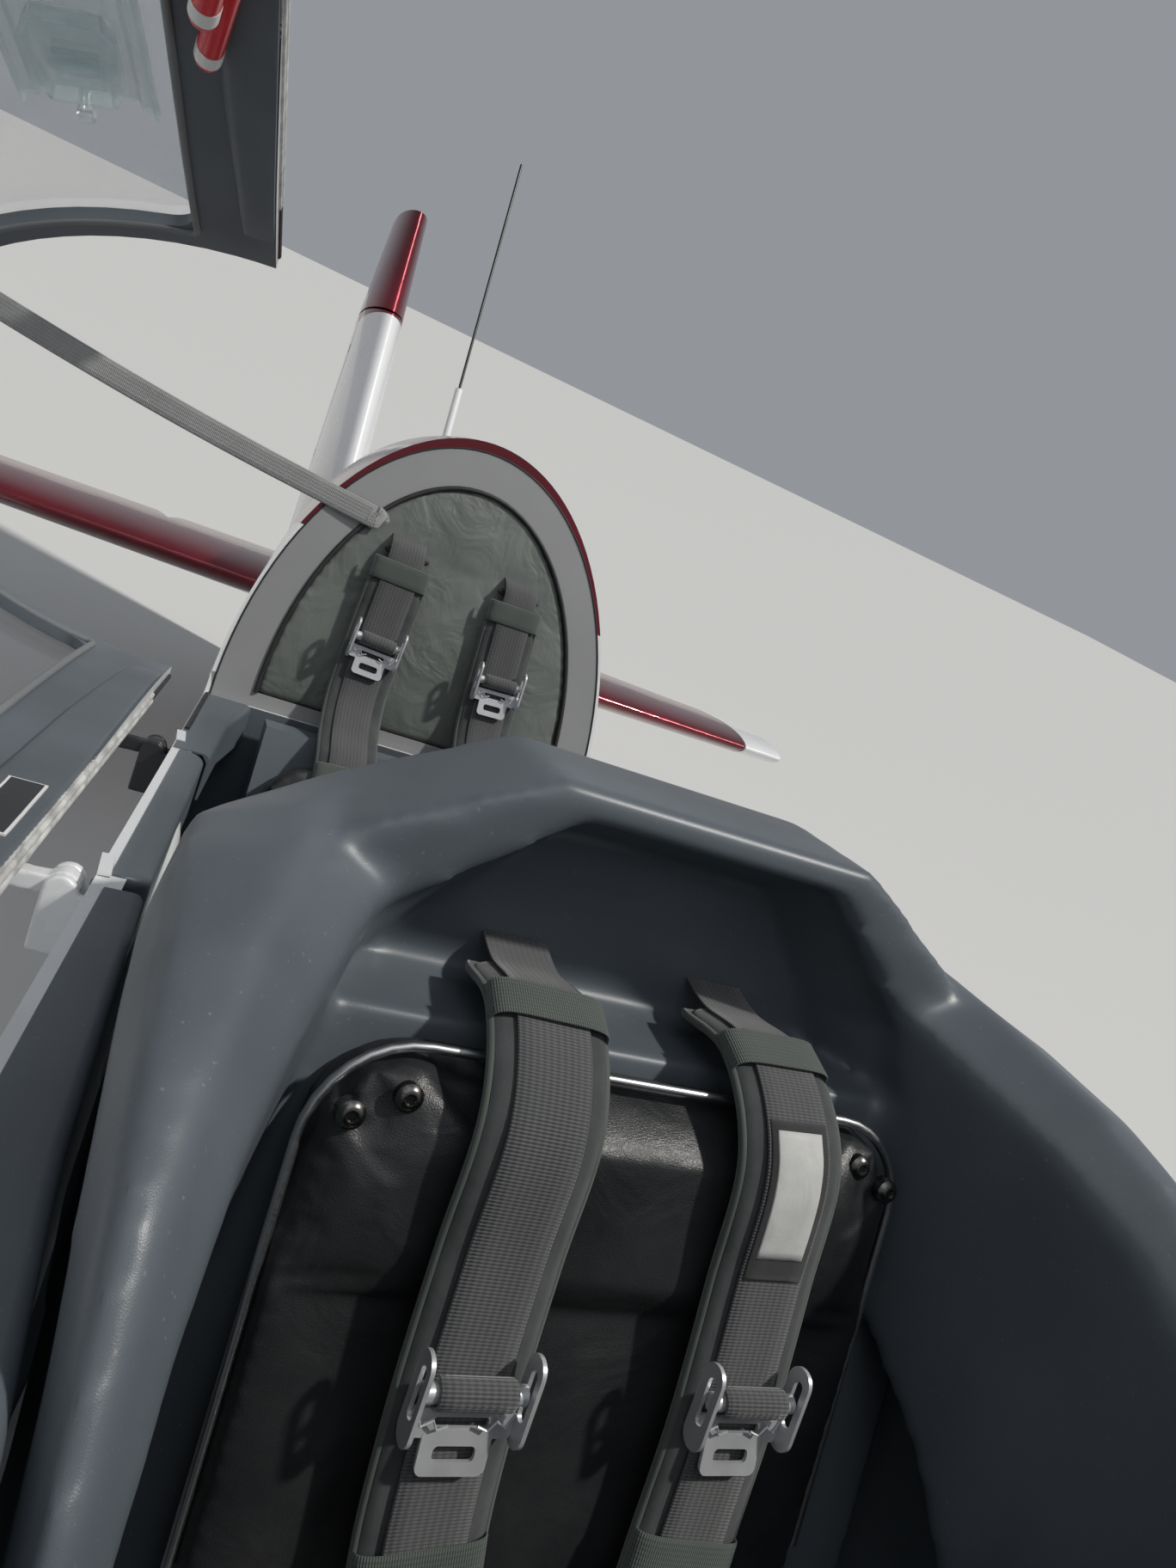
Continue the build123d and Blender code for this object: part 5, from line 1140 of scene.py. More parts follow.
def cover_section(outer, inner, drop):
    """Section of a sill cover: from the skin's edge in, over the roll and down."""
    top = SILL + COVER_THICKNESS
    points = [(outer, SILL + 0.0002), (outer - 0.0006, top), ((outer + inner + COVER_ROLL) / 2, top)]
    for k in range(6):
        turn = math.radians(90 * k / 5)
        points.append((inner + COVER_ROLL * (1 - math.sin(turn)), top - COVER_ROLL * (1 - math.cos(turn))))
    points += [(inner, drop), (inner + 0.0022, drop), (inner + 0.0022, top - COVER_ROLL - 0.002),
               (inner + COVER_ROLL, top - 0.0022), (outer - 0.006, SILL + 0.0001)]
    return points


def along(line, s):
    """Value at a station on a line of (station, value) pairs."""
    for (s0, x0), (s1, x1) in zip(line, line[1:]):
        if s <= s1:
            return x0 + (x1 - x0) * (s - s0) / (s1 - s0)
    return line[-1][1]


COVERS = (
    ("front", ((2.655, 0.335), (3.200, 0.335), (3.500, 0.318)), 0.0085, 0.060, 0.0),
    ("rear", ((3.525, half_width(3.525) - 0.036), (3.897, half_width(3.897) - 0.036)), 0.0085, 0.110, 0.016),
    ("corner", ((3.902, half_width(3.902) - 0.040), (4.060, half_width(4.060) - 0.044),
                (4.199, half_width(4.199) - 0.064)), 0.0012, 0.120, 0.0),
)
for side, side_name in ((1, "left"), (-1, "right")):
    for place, line, edge, drop, corner in COVERS:
        sections = []
        first, last = line[0][0], line[-1][0]
        for k in range(41):
            s = first + (last - first) * (0.5 - 0.5 * math.cos(math.pi * k / 40))
            near = min(s - first, last - s)
            pull = corner - math.sqrt(max(0.0, corner ** 2 - max(0.0, corner - near) ** 2)) if corner else 0.0
            section = cover_section(half_width(s) - edge, along(line, s) + pull, drop)
            sections.append([level(side * x, s, z) for x, z in section])
        cover = sweep(f"sill_cover_{place}_{side_name}", sections, SHELL_GREY, 50)
        carry(cover, "airframe")
        if place != "corner":
            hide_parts(f"sill_panel_{side_name}")

# Cockpit tub: white outside, satin grey inside, with a grey bulkhead behind the rear seat
# and the white welded steel tubes of the fuselage frame beside the hood.


def tub_face(centre, normal):
    """Grey for the tub's inner faces, white for its skin and its top edge."""
    inner = half_width(centre.y) - 0.013
    return 1 if abs(centre.x) < inner and centre.z < SILL - 0.002 else 0


def bulkhead_face(centre, normal):
    """Grey for the face toward the cockpit."""
    return 1 if normal.y < -0.7 and centre.y < 4.3 else 0


def deck_face(centre, normal):
    """Grey for the foot of the arch, inside its skin."""
    return 1 if centre.z < 0.1945 and centre.y < 4.35 and abs(centre.x) < half_width(4.2) - 0.006 else 0


for name in ("side_shell_left", "side_shell_right"):
    finish_node(name, WHITE, SHELL_GREY, pick=tub_face)
finish_node("rear_fuselage", WHITE, SHELL_GREY, pick=bulkhead_face)
finish_node("turtledeck", DECK_PAINT, TRIM_GREY, pick=deck_face)
WHITE_TUBE = paint("white_frame_paint", (0.55, 0.56, 0.56, 1), (0.66, 0.67, 0.67, 1), 0.34)
frame_tubes = []
for side in (1, -1):
    frame_tubes.append(tube([level(side * 0.3020, s, z) for s, z in (
        (3.46, 0.050), (3.60, 0.108), (3.70, 0.146), (3.80, 0.140))], 0.0095, 16))
    frame_tubes.append(tube([level(side * 0.3030, 3.60, z) for z in (-0.38, -0.1, 0.108)], 0.008, 14))
    frame_tubes.append(tube([level(side * 0.2990, 3.80, z) for z in (-0.38, -0.1, 0.140)], 0.008, 14))
truss = join_parts("cockpit_frame_tubes", frame_tubes, WHITE_TUBE, 60)
carry(truss, "airframe")

# Sill clips: pressed white clips over the skin's edge at each canopy hinge, two screws in
# each, and a soft seal along the skin's last length.
HINGE_STATIONS = (2.79, 3.54, 3.95)
clips, screws = [], []
for s in HINGE_STATIONS:
    line = [(-half_width(s) - 0.0012, SILL - 0.030), (-half_width(s) - 0.0012, SILL + 0.0008),
            (-half_width(s) + 0.0080, SILL + 0.0012)]
    ring = [level(x, s + along_by, z) for x, z in line for along_by in (-0.020, 0.020)]
    out = [p + level_way(-0.0006, 0, 0.0016) for p in ring]
    faces = [(0, 1, 3, 2), (2, 3, 5, 4), (6, 8, 9, 7), (8, 10, 11, 9), (0, 2, 8, 6), (2, 4, 10, 8),
             (1, 7, 9, 3), (3, 9, 11, 5), (0, 6, 7, 1), (4, 5, 11, 10)]
    clips.append((ring + out, faces))
    for along_by in (-0.012, 0.012):
        seat = level(-half_width(s) - 0.0014, s + along_by, SILL - 0.020)
        screws.append(lathe(seat, level_way(-1, 0, 0), [(0, 0.0040), (0.0016, 0.0040), (0.0024, 0.0030)], 16))
carry(join_parts("hinge_clips", clips, WHITE, 40), "airframe")
carry(join_parts("hinge_clip_screws", screws, TRIM_GREY, 40), "airframe")
seal_stations = [3.985 + 0.205 * k / 16 for k in range(17)]
seal_line = [level(-half_width(s) + 0.0045, s, SILL + 0.0018) for s in seal_stations]
sill_seal = join_parts("sill_seal_tube", [tube(seal_line, 0.0030, 12)], BLACK_RUBBER, 60)
carry(sill_seal, "airframe")

# Front seat tub: one grey rotationally moulded shell. Its wide rim makes the hood over the
# rear panel and the ears beside the front occupant, and a bowl is sunk behind the head.
seat_tub = cad_copy("front_seat_tub", "front_seat_shell", SHELL_GREY)
remesh(seat_tub, 0.0058, 12)
carry(seat_tub, "airframe")
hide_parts("front_seat_shell")

# Front seat cushions: black hide over foam, the back's upper corners held by snaps to a
# thin alloy frame, its face drawn in along two piped seams.
PAN_FLOOR = -0.262
FRONT_BACK_LEAN = 0.220


def front_seam(p):
    """Hidden faces of the front cushions and their piped seams."""
    if p.z < -0.20:
        return p.z < PAN_FLOOR or abs(abs(p.x) - 0.150) < SEAM_HALF or abs(abs(p.x) - 0.217) < 0.004
    lean = 3.220 + FRONT_BACK_LEAN * (p.z + 0.300)
    if p.y > lean - 0.012:
        return True
    if abs(abs(p.x) - 0.135) < SEAM_HALF and p.z < 0.06:
        return True
    return abs(p.z - 0.065) < SEAM_HALF


front_cushion = upholster("front_seat_upholstery", "front_seat_cushions", BLACK_LEATHER, front_seam)
carry(front_cushion, "airframe")
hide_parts("front_seat_cushions")


def metal(name, colour, roughness, scratch=260.0, metallic=1.0):
    """Worked metal with fine scratches and handling haze."""
    made, nodes, links, shader = new_material(name)
    coords = nodes.new("ShaderNodeTexCoord").outputs["Object"]
    low = (*[c * 0.82 for c in colour], 1)
    links.new(noise_mix(nodes, links, coords, 35.0, low, (*colour, 1), 5.0), shader.inputs["Base Color"])
    shader.inputs["Metallic"].default_value = metallic
    stretch = node(nodes, "ShaderNodeMapping")
    stretch.inputs["Scale"].default_value = (1.0, 9.0, 1.0)
    links.new(coords, stretch.inputs["Vector"])
    marks = uneven_shine(
        nodes, links, stretch.outputs["Vector"], shader, scratch, 6.0, max(0.05, roughness - 0.10), roughness + 0.12
    )
    bump(nodes, links, shader, marks, 0.08, 0.0003)
    return made


STEEL = metal("pressed_steel", (0.66, 0.66, 0.65), 0.30)
ALLOY = metal("bare_alloy", (0.58, 0.59, 0.60), 0.34)
BACK_LEAN = Vector((0, FRONT_BACK_LEAN, 1)).normalized()
BACK_FACE = Vector((0, -1, FRONT_BACK_LEAN)).normalized()


def on_back(x, rise, ahead):
    """Point on the front seat back's face: rise up it from the pan, ahead of it."""
    return level(*(Vector((x, 3.220, -0.300)) + BACK_LEAN * rise + BACK_FACE * ahead))


frame_bars = []
for side in (1, -1):
    corner = [(0.1550 + 0.0630 * math.cos(t), 0.4450 + 0.0630 * math.sin(t)) for t in
              [math.radians(11.25 * k) for k in range(9)]]
    run = [(0.218, 0.200), (0.218, 0.320), *corner, (0.080, 0.508), (0, 0.508)]
    frame_bars.append(tube([on_back(side * x, rise, 0.034) for x, rise in run], 0.0032, 10))
back_frame = join_parts("seat_back_edging", frame_bars, ALLOY, 60)
carry(back_frame, "airframe")
snaps = []
for side in (1, -1):
    for x, rise in ((0.196, 0.468), (0.166, 0.482)):
        snaps.append(lathe(on_back(side * x, rise, 0.0480), level_way(*BACK_FACE), [
            (-0.006, 0.0085), (0.0030, 0.0085), (0.0052, 0.0066), (0.0062, 0.0040), (0.0060, 0.0030),
            (0.0048, 0.0024),
        ], 28))
snap_caps = join_parts("seat_back_snaps", snaps, metal("dark_snap", (0.16, 0.155, 0.15), 0.26), 40)
carry(snap_caps, "airframe")

# Rear seat cushions: the same black hide over foam on a flat pan, with two piped seams.
REAR_BACK_LEAN = 0.258


def rear_seam(p):
    """Hidden faces of the rear cushions and their piped seams."""
    if p.z < -0.20:
        return p.z < PAN_FLOOR or abs(abs(p.x) - 0.120) < SEAM_HALF
    lean = 4.020 + REAR_BACK_LEAN * (p.z + 0.300)
    if p.y > lean - 0.012:
        return True
    return abs(abs(p.x) - 0.120) < SEAM_HALF or abs(p.z - 0.010) < SEAM_HALF


rear_cushion = upholster("rear_seat_upholstery", "rear_seat_cushions", BLACK_LEATHER, rear_seam)
carry(rear_cushion, "airframe")
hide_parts("rear_seat_cushions")

# Harnesses: padded shoulder straps that lie down each seat's back, their webbing threaded
# through pressed steel adjusters, and lap straps that meet in a latch on the seat.
HARNESS_GREY = webbing("harness_grey_webbing", (0.030, 0.031, 0.033, 1), (0.105, 0.107, 0.11, 1))
LOOP_GREEN = webbing("loop_green_webbing", (0.040, 0.052, 0.045, 1), (0.095, 0.115, 0.10, 1), 0.0016, 0.0030)
PLATED_STEEL = metal("plated_steel", (0.70, 0.71, 0.73), 0.34, 260.0, 0.5)


def woven_fabric(name, dark, light, scale):
    """Tight plain-weave cloth: two crossed sets of threads and a soft drift of colour."""
    made, nodes, links, shader = new_material(name)
    coords = nodes.new("ShaderNodeTexCoord").outputs["Object"]
    threads = []
    for direction in ("X", "Z"):
        wave = node(nodes, "ShaderNodeTexWave", wave_type="BANDS", bands_direction=direction, Scale=scale)
        links.new(coords, wave.inputs["Vector"])
        threads.append(wave.outputs["Fac"])
    both = node(nodes, "ShaderNodeMath", operation="MULTIPLY")
    links.new(threads[0], both.inputs[0])
    links.new(threads[1], both.inputs[1])
    cloud = noise_mix(nodes, links, coords, 30.0, dark, light, 6.0)
    links.new(cloud, shader.inputs["Base Color"])
    shader.inputs["Roughness"].default_value = 0.86
    shader.inputs["Sheen Weight"].default_value = 0.30
    normal = bump(nodes, links, shader, both.outputs[0], 0.5, 0.0003)
    folds = node(nodes, "ShaderNodeTexNoise", Scale=26.0, Detail=4.0, Distortion=0.6)
    links.new(coords, folds.inputs["Vector"])
    bump(nodes, links, shader, folds.outputs["Fac"], 0.5, 0.003, normal)
    return made


PAD_CLOTH = woven_fabric("harness_pad_cloth", (0.030, 0.034, 0.036, 1), (0.055, 0.060, 0.062, 1), 420.0)


def rounded_loop(width, height, radius, steps=5):
    """Closed rounded rectangle in a plane, as pairs."""
    made = []
    for cx, cy, start in ((1, 1, 0), (-1, 1, 90), (-1, -1, 180), (1, -1, 270)):
        for k in range(steps + 1):
            turn = math.radians(start + 90 * k / steps)
            made.append((
                cx * (width / 2 - radius) + radius * math.cos(turn),
                cy * (height / 2 - radius) + radius * math.sin(turn),
            ))
    return made


def plate_ring(outer, inner, thick):
    """Flat plate with a slot: outer and inner loops of as many points, given a thickness."""
    count = len(outer)
    vertices = list(outer) + list(inner) + [p + thick for p in outer] + [p + thick for p in inner]
    faces = []
    for k in range(count):
        j = (k + 1) % count
        faces += [
            (k, j, count + j, count + k), (2 * count + k, 3 * count + k, 3 * count + j, 2 * count + j),
            (k, 2 * count + k, 2 * count + j, j), (count + k, count + j, 3 * count + j, 3 * count + k),
        ]
    return vertices, faces


STAMPING = 0.0026


def adjuster(name, centre, across, down, face, material, width=0.064, height=0.056):
    """Stamped adjuster: two slotted cheeks, a cross web and a slotted pull lip."""
    across, down, face = Vector(across).normalized(), Vector(down).normalized(), Vector(face).normalized()

    def at(u, v, w):
        """Point by its way across, down and off the adjuster."""
        return centre + across * u + down * v + face * w

    parts = []
    for side in (1, -1):
        outer = [at(side * width / 2, v, w + 0.0105 - 0.10 * v)
                 for v, w in rounded_loop(height, 0.021, 0.0100, 6)]
        inner = [at(side * width / 2, v - 0.004, w + 0.0120 - 0.10 * v)
                 for v, w in rounded_loop(height * 0.56, 0.0080, 0.0038, 6)]
        parts.append(plate_ring(outer, inner, across * side * STAMPING))
    web_out = [at(u, v + height * 0.30, 0.0030) for u, v in rounded_loop(width, 0.017, 0.003, 6)]
    web_in = [at(u, v + height * 0.30, 0.0030) for u, v in rounded_loop(width * 0.52, 0.0070, 0.002, 6)]
    parts.append(plate_ring(web_out, web_in, face * STAMPING))
    lip_out = [at(u, v + height * 0.58, 0.0042 + 0.10 * v)
               for u, v in rounded_loop(width * 0.66, 0.026, 0.005, 6)]
    lip_in = [at(u, v + height * 0.60, 0.0042 + 0.10 * v)
              for u, v in rounded_loop(width * 0.40, 0.0085, 0.003, 6)]
    parts.append(plate_ring(lip_out, lip_in, face * STAMPING))
    parts.append(tube([at(u * (width - 0.002), -0.004, 0.0115) for u in (-0.5, -0.2, 0.2, 0.5)], 0.0058, 14))
    for side in (1, -1):
        spring = [at(side * u * width, v * height, w) for u, v, w in (
            (0.46, 0.14, 0.010), (0.40, 0.30, 0.009), (0.30, 0.22, 0.010), (0.24, 0.34, 0.0085),
            (0.14, 0.30, 0.008))]
        parts.append(tube(spring, 0.0009, 6))
    return join_parts(name, parts, material, 40)


WRAP_RADIUS = 0.0082
WEBBING_THICKNESS = 0.0018


def roller_wrap(name, centre, down, face, width):
    """Turn of the webbing round an adjuster's roller."""
    turns = [math.radians(-205 + 25 * k) for k in range(10)]
    normals = [down * math.cos(t) - face * math.sin(t) for t in turns]
    points = [centre + down * -0.004 + face * 0.0115 + out * WRAP_RADIUS for out in normals]
    wrap = band(name, points, normals, width, WEBBING_THICKNESS, steps=4)
    wrap.data.materials.append(HARNESS_GREY)
    return wrap


def pad(name, path, normals, width, thickness, material, steps=10, puff=0.35):
    """Long padded sleeve: crowned faces, pinched bound edges and rounded ends."""
    line = spline_points(path, steps)
    faces_to = spline_points(normals, steps)
    total = sum((b - a).length for a, b in zip(line, line[1:]))
    mesh = bpy.data.meshes.new(name)
    bm = bmesh.new()
    columns, rings, along = 16, [], 0.0
    for i, point in enumerate(line):
        ahead = (line[min(i + 1, len(line) - 1)] - line[max(i - 1, 0)]).normalized()
        side = ahead.cross(faces_to[i]).normalized()
        out = side.cross(ahead).normalized()
        if i:
            along += (point - line[i - 1]).length
        near_end = min(along, total - along)
        narrow = 1.0 if near_end > 0.02 else 0.80 + 0.20 * math.sqrt(max(0, 1 - (1 - near_end / 0.02) ** 2))
        ring = []
        for k in range(columns):
            turn = 2 * math.pi * k / columns
            u, v = math.cos(turn), math.sin(turn)
            u = math.copysign(abs(u) ** 0.6, u)
            v = math.copysign(abs(v) ** (1 - puff), v)
            swell = 1 + 0.10 * noise.noise(point * 23 + Vector((k, 0, 0)) * 0.02)
            ring.append(bm.verts.new(
                point + side * u * width * 0.5 * narrow + out * v * thickness * 0.5 * swell
            ))
        rings.append(ring)
    for i in range(len(rings) - 1):
        for k in range(columns):
            face = bm.faces.new((rings[i][k], rings[i][(k + 1) % columns],
                                 rings[i + 1][(k + 1) % columns], rings[i + 1][k]))
            face.smooth = True
    bm.faces.new(list(reversed(rings[0])))
    bm.faces.new(rings[-1])
    bmesh.ops.recalc_face_normals(bm, faces=bm.faces)
    bm.to_mesh(mesh)
    bm.free()
    mesh.materials.append(material)
    return new_piece(name, mesh), line, faces_to


BINDING_OVERHANG = 0.003


def binding(name, line, faces_to, width, material, radius=0.0032):
    """Sewn tape round a pad's edge."""
    left, right = [], []
    for i, point in enumerate(line):
        ahead = (line[min(i + 1, len(line) - 1)] - line[max(i - 1, 0)]).normalized()
        side = ahead.cross(faces_to[i]).normalized()
        left.append(point + side * width * 0.5)
        right.append(point - side * width * 0.5)
    loop = left + [(left[-1] + right[-1]) * 0.5 + (line[-1] - line[-2]).normalized() * BINDING_OVERHANG]
    loop += list(reversed(right)) + [(left[0] + right[0]) * 0.5 + (line[0] - line[1]).normalized() * BINDING_OVERHANG]
    return join_parts(name, [tube(loop, radius, 8, closed=True)], material, 60)


SHOULDER_WIDTH = 0.050
PAD_WIDTH = 0.078
PAD_THICKNESS = 0.014
LOOP_RISE = (
    (-1, -0.0085), (-0.92, -0.001), (-0.62, 0.0022), (0, 0.0026), (0.62, 0.0022), (0.92, -0.001), (1, -0.0085),
)
FRONT_ROUTE = (
    ((0.084, 3.412, 0.232), (0, 0, 1)), ((0.085, 3.372, 0.226), (0, 0, 1)),
    ((0.087, 3.310, 0.230), (0, -0.25, 1)), ((0.090, 3.256, 0.190), (0, -1, 0.45)),
    ((0.093, 3.238, 0.110), (0, -1, 0.24)), ((0.094, 3.218, 0.020), (0, -1, 0.24)),
    ((0.088, 3.197, -0.070), (0, -1, 0.30)), ((0.072, 3.160, -0.145), (0, -1, 0.80)),
    ((0.052, 3.112, -0.183), (0, -0.3, 1)),
)
REAR_ROUTE = (
    ((0.085, 4.252, 0.452), (0, -1, 0.5)), ((0.086, 4.226, 0.434), (0, -1, 0.3)),
    ((0.087, 4.216, 0.390), (0, -1, 0.1)), ((0.091, 4.206, 0.310), (0, -1, 0.1)),
    ((0.094, 4.192, 0.235), (0, -1, 0.35)), ((0.095, 4.150, 0.186), (0, -0.7, 1)),
    ((0.094, 4.092, 0.146), (0, -0.9, 0.7)), ((0.092, 4.052, 0.070), (0, -1, 0.28)),
    ((0.084, 4.026, -0.030), (0, -1, 0.28)), ((0.066, 3.985, -0.130), (0, -1, 0.8)),
    ((0.048, 3.935, -0.182), (0, -0.3, 1)),
)


def shoulder_strap(place, side, side_name, route, first, last, fittings, cad):
    """One shoulder strap with its pad from one route point to another, and its fittings."""
    points = [level(side * x, s, z) for (x, s, z), n in route]
    faces = [LEVEL.to_3x3() @ Vector(n).normalized() for p, n in route]
    sleeve, line, faces_to = pad(
        f"{place}_shoulder_pad_{side_name}", points[first:last], faces[first:last], PAD_WIDTH, PAD_THICKNESS,
        PAD_CLOTH,
    )
    carry(sleeve, "airframe")
    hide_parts(cad)
    tape = binding(f"{place}_pad_binding_{side_name}", line, faces_to, PAD_WIDTH - 0.002, LOOP_GREEN)
    carry(tape, "airframe")
    above = [p + n * 0.0088 for p, n in zip(points, faces)]
    strip = band(
        f"{place}_shoulder_strap_{side_name}", above, faces, SHOULDER_WIDTH, WEBBING_THICKNESS, steps=12
    )
    strip.data.materials.append(HARNESS_GREY)
    carry(strip, "airframe")
    dense, dense_faces = spline_points(above, 12), spline_points(faces, 12)
    for share, kind in fittings:
        at = int(share * (len(dense) - 1))
        ahead = (dense[at + 1] - dense[at - 1]).normalized()
        across = ahead.cross(dense_faces[at]).normalized()
        out = across.cross(ahead).normalized()
        if kind == "loop":
            ring = [dense[at] + across * u * (PAD_WIDTH / 2 + 0.0012) + out * w for u, w in LOOP_RISE]
            hoop = band(
                f"{place}_pad_loop_{side_name}_{at}", ring, [out + across * u * 0.4 for u, w in LOOP_RISE],
                0.030, 0.0014, steps=6,
            )
            hoop.data.materials.append(LOOP_GREEN)
            carry(hoop, "airframe")
        else:
            seat = dense[at] + out * 0.001
            buckle = adjuster(f"{place}_adjuster_{side_name}", seat, across, ahead, out, PLATED_STEEL)
            carry(buckle, "airframe")
            wrap = roller_wrap(f"{place}_roller_wrap_{side_name}", seat, ahead, out, SHOULDER_WIDTH - 0.002)
            carry(wrap, "airframe")
    return dense, dense_faces


LAP_WIDTH = 0.045


def lap_straps(place, aft):
    """Two lap straps that come over the cushion's edges, and the latch they meet in."""
    for side, side_name in ((-1, "right"), (1, "left")):
        route = [(0.212, aft + 0.165, -0.240), (0.196, aft + 0.130, -0.196), (0.140, aft + 0.060, -0.186),
                 (0.070, aft + 0.015, -0.184), (0.014, aft, -0.184)]
        faces = [(0.9, -0.1, 0.4), (0.4, -0.1, 1), (0.05, -0.05, 1), (0, -0.05, 1), (0, -0.05, 1)]
        strip = band(
            f"{place}_lap_strap_{side_name}", [level(side * x, s, z) for x, s, z in route],
            [level_way(side * x, y, z).normalized() for x, y, z in faces], LAP_WIDTH, WEBBING_THICKNESS, steps=10,
        )
        strip.data.materials.append(HARNESS_GREY)
        carry(strip, "airframe")
    latch = adjuster(f"{place}_latch", level(0, aft, -0.182), (1, 0, 0), level_way(0, -1, 0),
                     level_way(0, 0, 1), PLATED_STEEL, 0.070, 0.052)
    carry(latch, "airframe")


PATCH_WHITE = woven_fabric("patch_white", (0.52, 0.52, 0.50, 1), (0.64, 0.64, 0.62, 1), 700.0)
PATCH_BORDER = woven_fabric("patch_border", (0.012, 0.012, 0.013, 1), (0.022, 0.022, 0.023, 1), 700.0)
for side, side_name in ((-1, "right"), (1, "left")):
    line, faces_to = shoulder_strap(
        "front", side, side_name, FRONT_ROUTE, 1, 8, ((0.26, "loop"), (0.60, "adjuster"), (0.74, "loop")),
        "front_harness",
    )
    if side == 1:
        start, end = int(0.34 * len(line)), int(0.50 * len(line))
        for name, width, lift, inset, material in (("harness_patch_border", 0.046, 0.0012, 0, PATCH_BORDER),
                                                   ("harness_patch", 0.036, 0.0020, 1, PATCH_WHITE)):
            cut = slice(start + inset, end - inset, 3)
            patch = band(name, [p + n * lift for p, n in zip(line[cut], faces_to[cut])],
                         faces_to[cut], width, 0.0012, steps=4)
            patch.data.materials.append(material)
            carry(patch, "airframe")
    shoulder_strap(
        "rear", side, side_name, REAR_ROUTE, 2, 10, ((0.18, "loop"), (0.31, "adjuster"), (0.62, "loop")),
        "rear_harness",
    )
lap_straps("front", 3.020)
lap_straps("rear", 3.840)

# Strap slots: black rubber rings round the slits in the head upholstery where the rear straps come out; their black
# is painted shade of the openings.
slits = []
for side in (1, -1):
    slit = [on_ring(side * (0.085 + 0.030 * math.cos(t)), 0.262 + 0.0035 * math.sin(t), 0.012) for t in
            [2 * math.pi * k / 24 for k in range(24)]]
    slits.append(tube(slit, 0.0030, 8, closed=True))
# Painted shade: each black ring stands for the dark of a slit's opening.
slit_shade_rings = join_parts("strap_slot_trim", slits, BLACK_RUBBER, 60)
carry(slit_shade_rings, "airframe")

# Fasteners: small domed steel screws set in rows along the panels' edges, one repeated
# through Geometry Nodes.


def repeat(name, unit, points, aims, material, body):
    """One small mesh repeated on points, each turned to its aim, as one finished piece."""
    mesh = bpy.data.meshes.new(name)
    mesh.from_pydata([tuple(p) for p in points], [], [])
    aim = mesh.attributes.new("aim", "FLOAT_VECTOR", "POINT")
    aim.data.foreach_set("vector", [v for a in aims for v in Vector(a).normalized()])
    piece = new_piece(name, mesh)
    source = new_piece(name + "_unit", unit)
    group = bpy.data.node_groups.new(name, "GeometryNodeTree")
    group.interface.new_socket("Points", in_out="INPUT", socket_type="NodeSocketGeometry")
    group.interface.new_socket("Pieces", in_out="OUTPUT", socket_type="NodeSocketGeometry")
    nodes, links = group.nodes, group.links
    start, end = nodes.new("NodeGroupInput"), nodes.new("NodeGroupOutput")
    shape = nodes.new("GeometryNodeObjectInfo")
    shape.inputs["Object"].default_value = source
    facing = nodes.new("GeometryNodeInputNamedAttribute")
    facing.data_type = "FLOAT_VECTOR"
    facing.inputs["Name"].default_value = "aim"
    turned = nodes.new("FunctionNodeAlignRotationToVector")
    turned.axis = "Z"
    spread = nodes.new("GeometryNodeInstanceOnPoints")
    real = nodes.new("GeometryNodeRealizeInstances")
    coat = nodes.new("GeometryNodeSetMaterial")
    coat.inputs["Material"].default_value = material
    links.new(facing.outputs["Attribute"], turned.inputs["Vector"])
    links.new(start.outputs[0], spread.inputs["Points"])
    links.new(shape.outputs["Geometry"], spread.inputs["Instance"])
    links.new(turned.outputs["Rotation"], spread.inputs["Rotation"])
    links.new(spread.outputs["Instances"], real.inputs["Geometry"])
    links.new(real.outputs["Geometry"], coat.inputs["Geometry"])
    links.new(coat.outputs["Geometry"], end.inputs[0])
    piece.modifiers.new("repeat", "NODES").node_group = group
    done = settle(piece)
    done.materials.clear()
    done.materials.append(material)
    bpy.data.objects.remove(source)
    for face in done.polygons:
        face.use_smooth = True
    done.set_sharp_from_angle(angle=math.radians(40))
    carry(piece, body)


def screw_mesh(radius):
    """Domed screw head with a round recess, standing on its own origin."""
    vertices, faces = lathe(Vector((0, 0, 0)), Vector((0, 0, 1)), [
        (-radius * 0.6, radius), (radius * 0.10, radius), (radius * 0.34, radius * 0.82),
        (radius * 0.44, radius * 0.50), (radius * 0.44, radius * 0.30), (radius * 0.24, radius * 0.24),
    ], 14)
    mesh = bpy.data.meshes.new("screw")
    mesh.from_pydata([tuple(v) for v in vertices], [], faces)
    return mesh


def rows_on(name, lines, direction):
    """Points on a node's outer skin where rays toward it from outside land, and their normals."""
    tree = skin_tree(name, LEVEL.inverted())
    points, aims = [], []
    for start, end, count in lines:
        for k in range(count):
            p = Vector(start).lerp(Vector(end), k / max(1, count - 1))
            hit, normal = tree.ray_cast(p, Vector(direction))[:2]
            if hit is not None:
                if normal.dot(Vector(direction)) > 0:
                    normal = -normal
                points.append(LEVEL @ hit)
                aims.append(LEVEL.to_3x3() @ normal)
    return points, aims


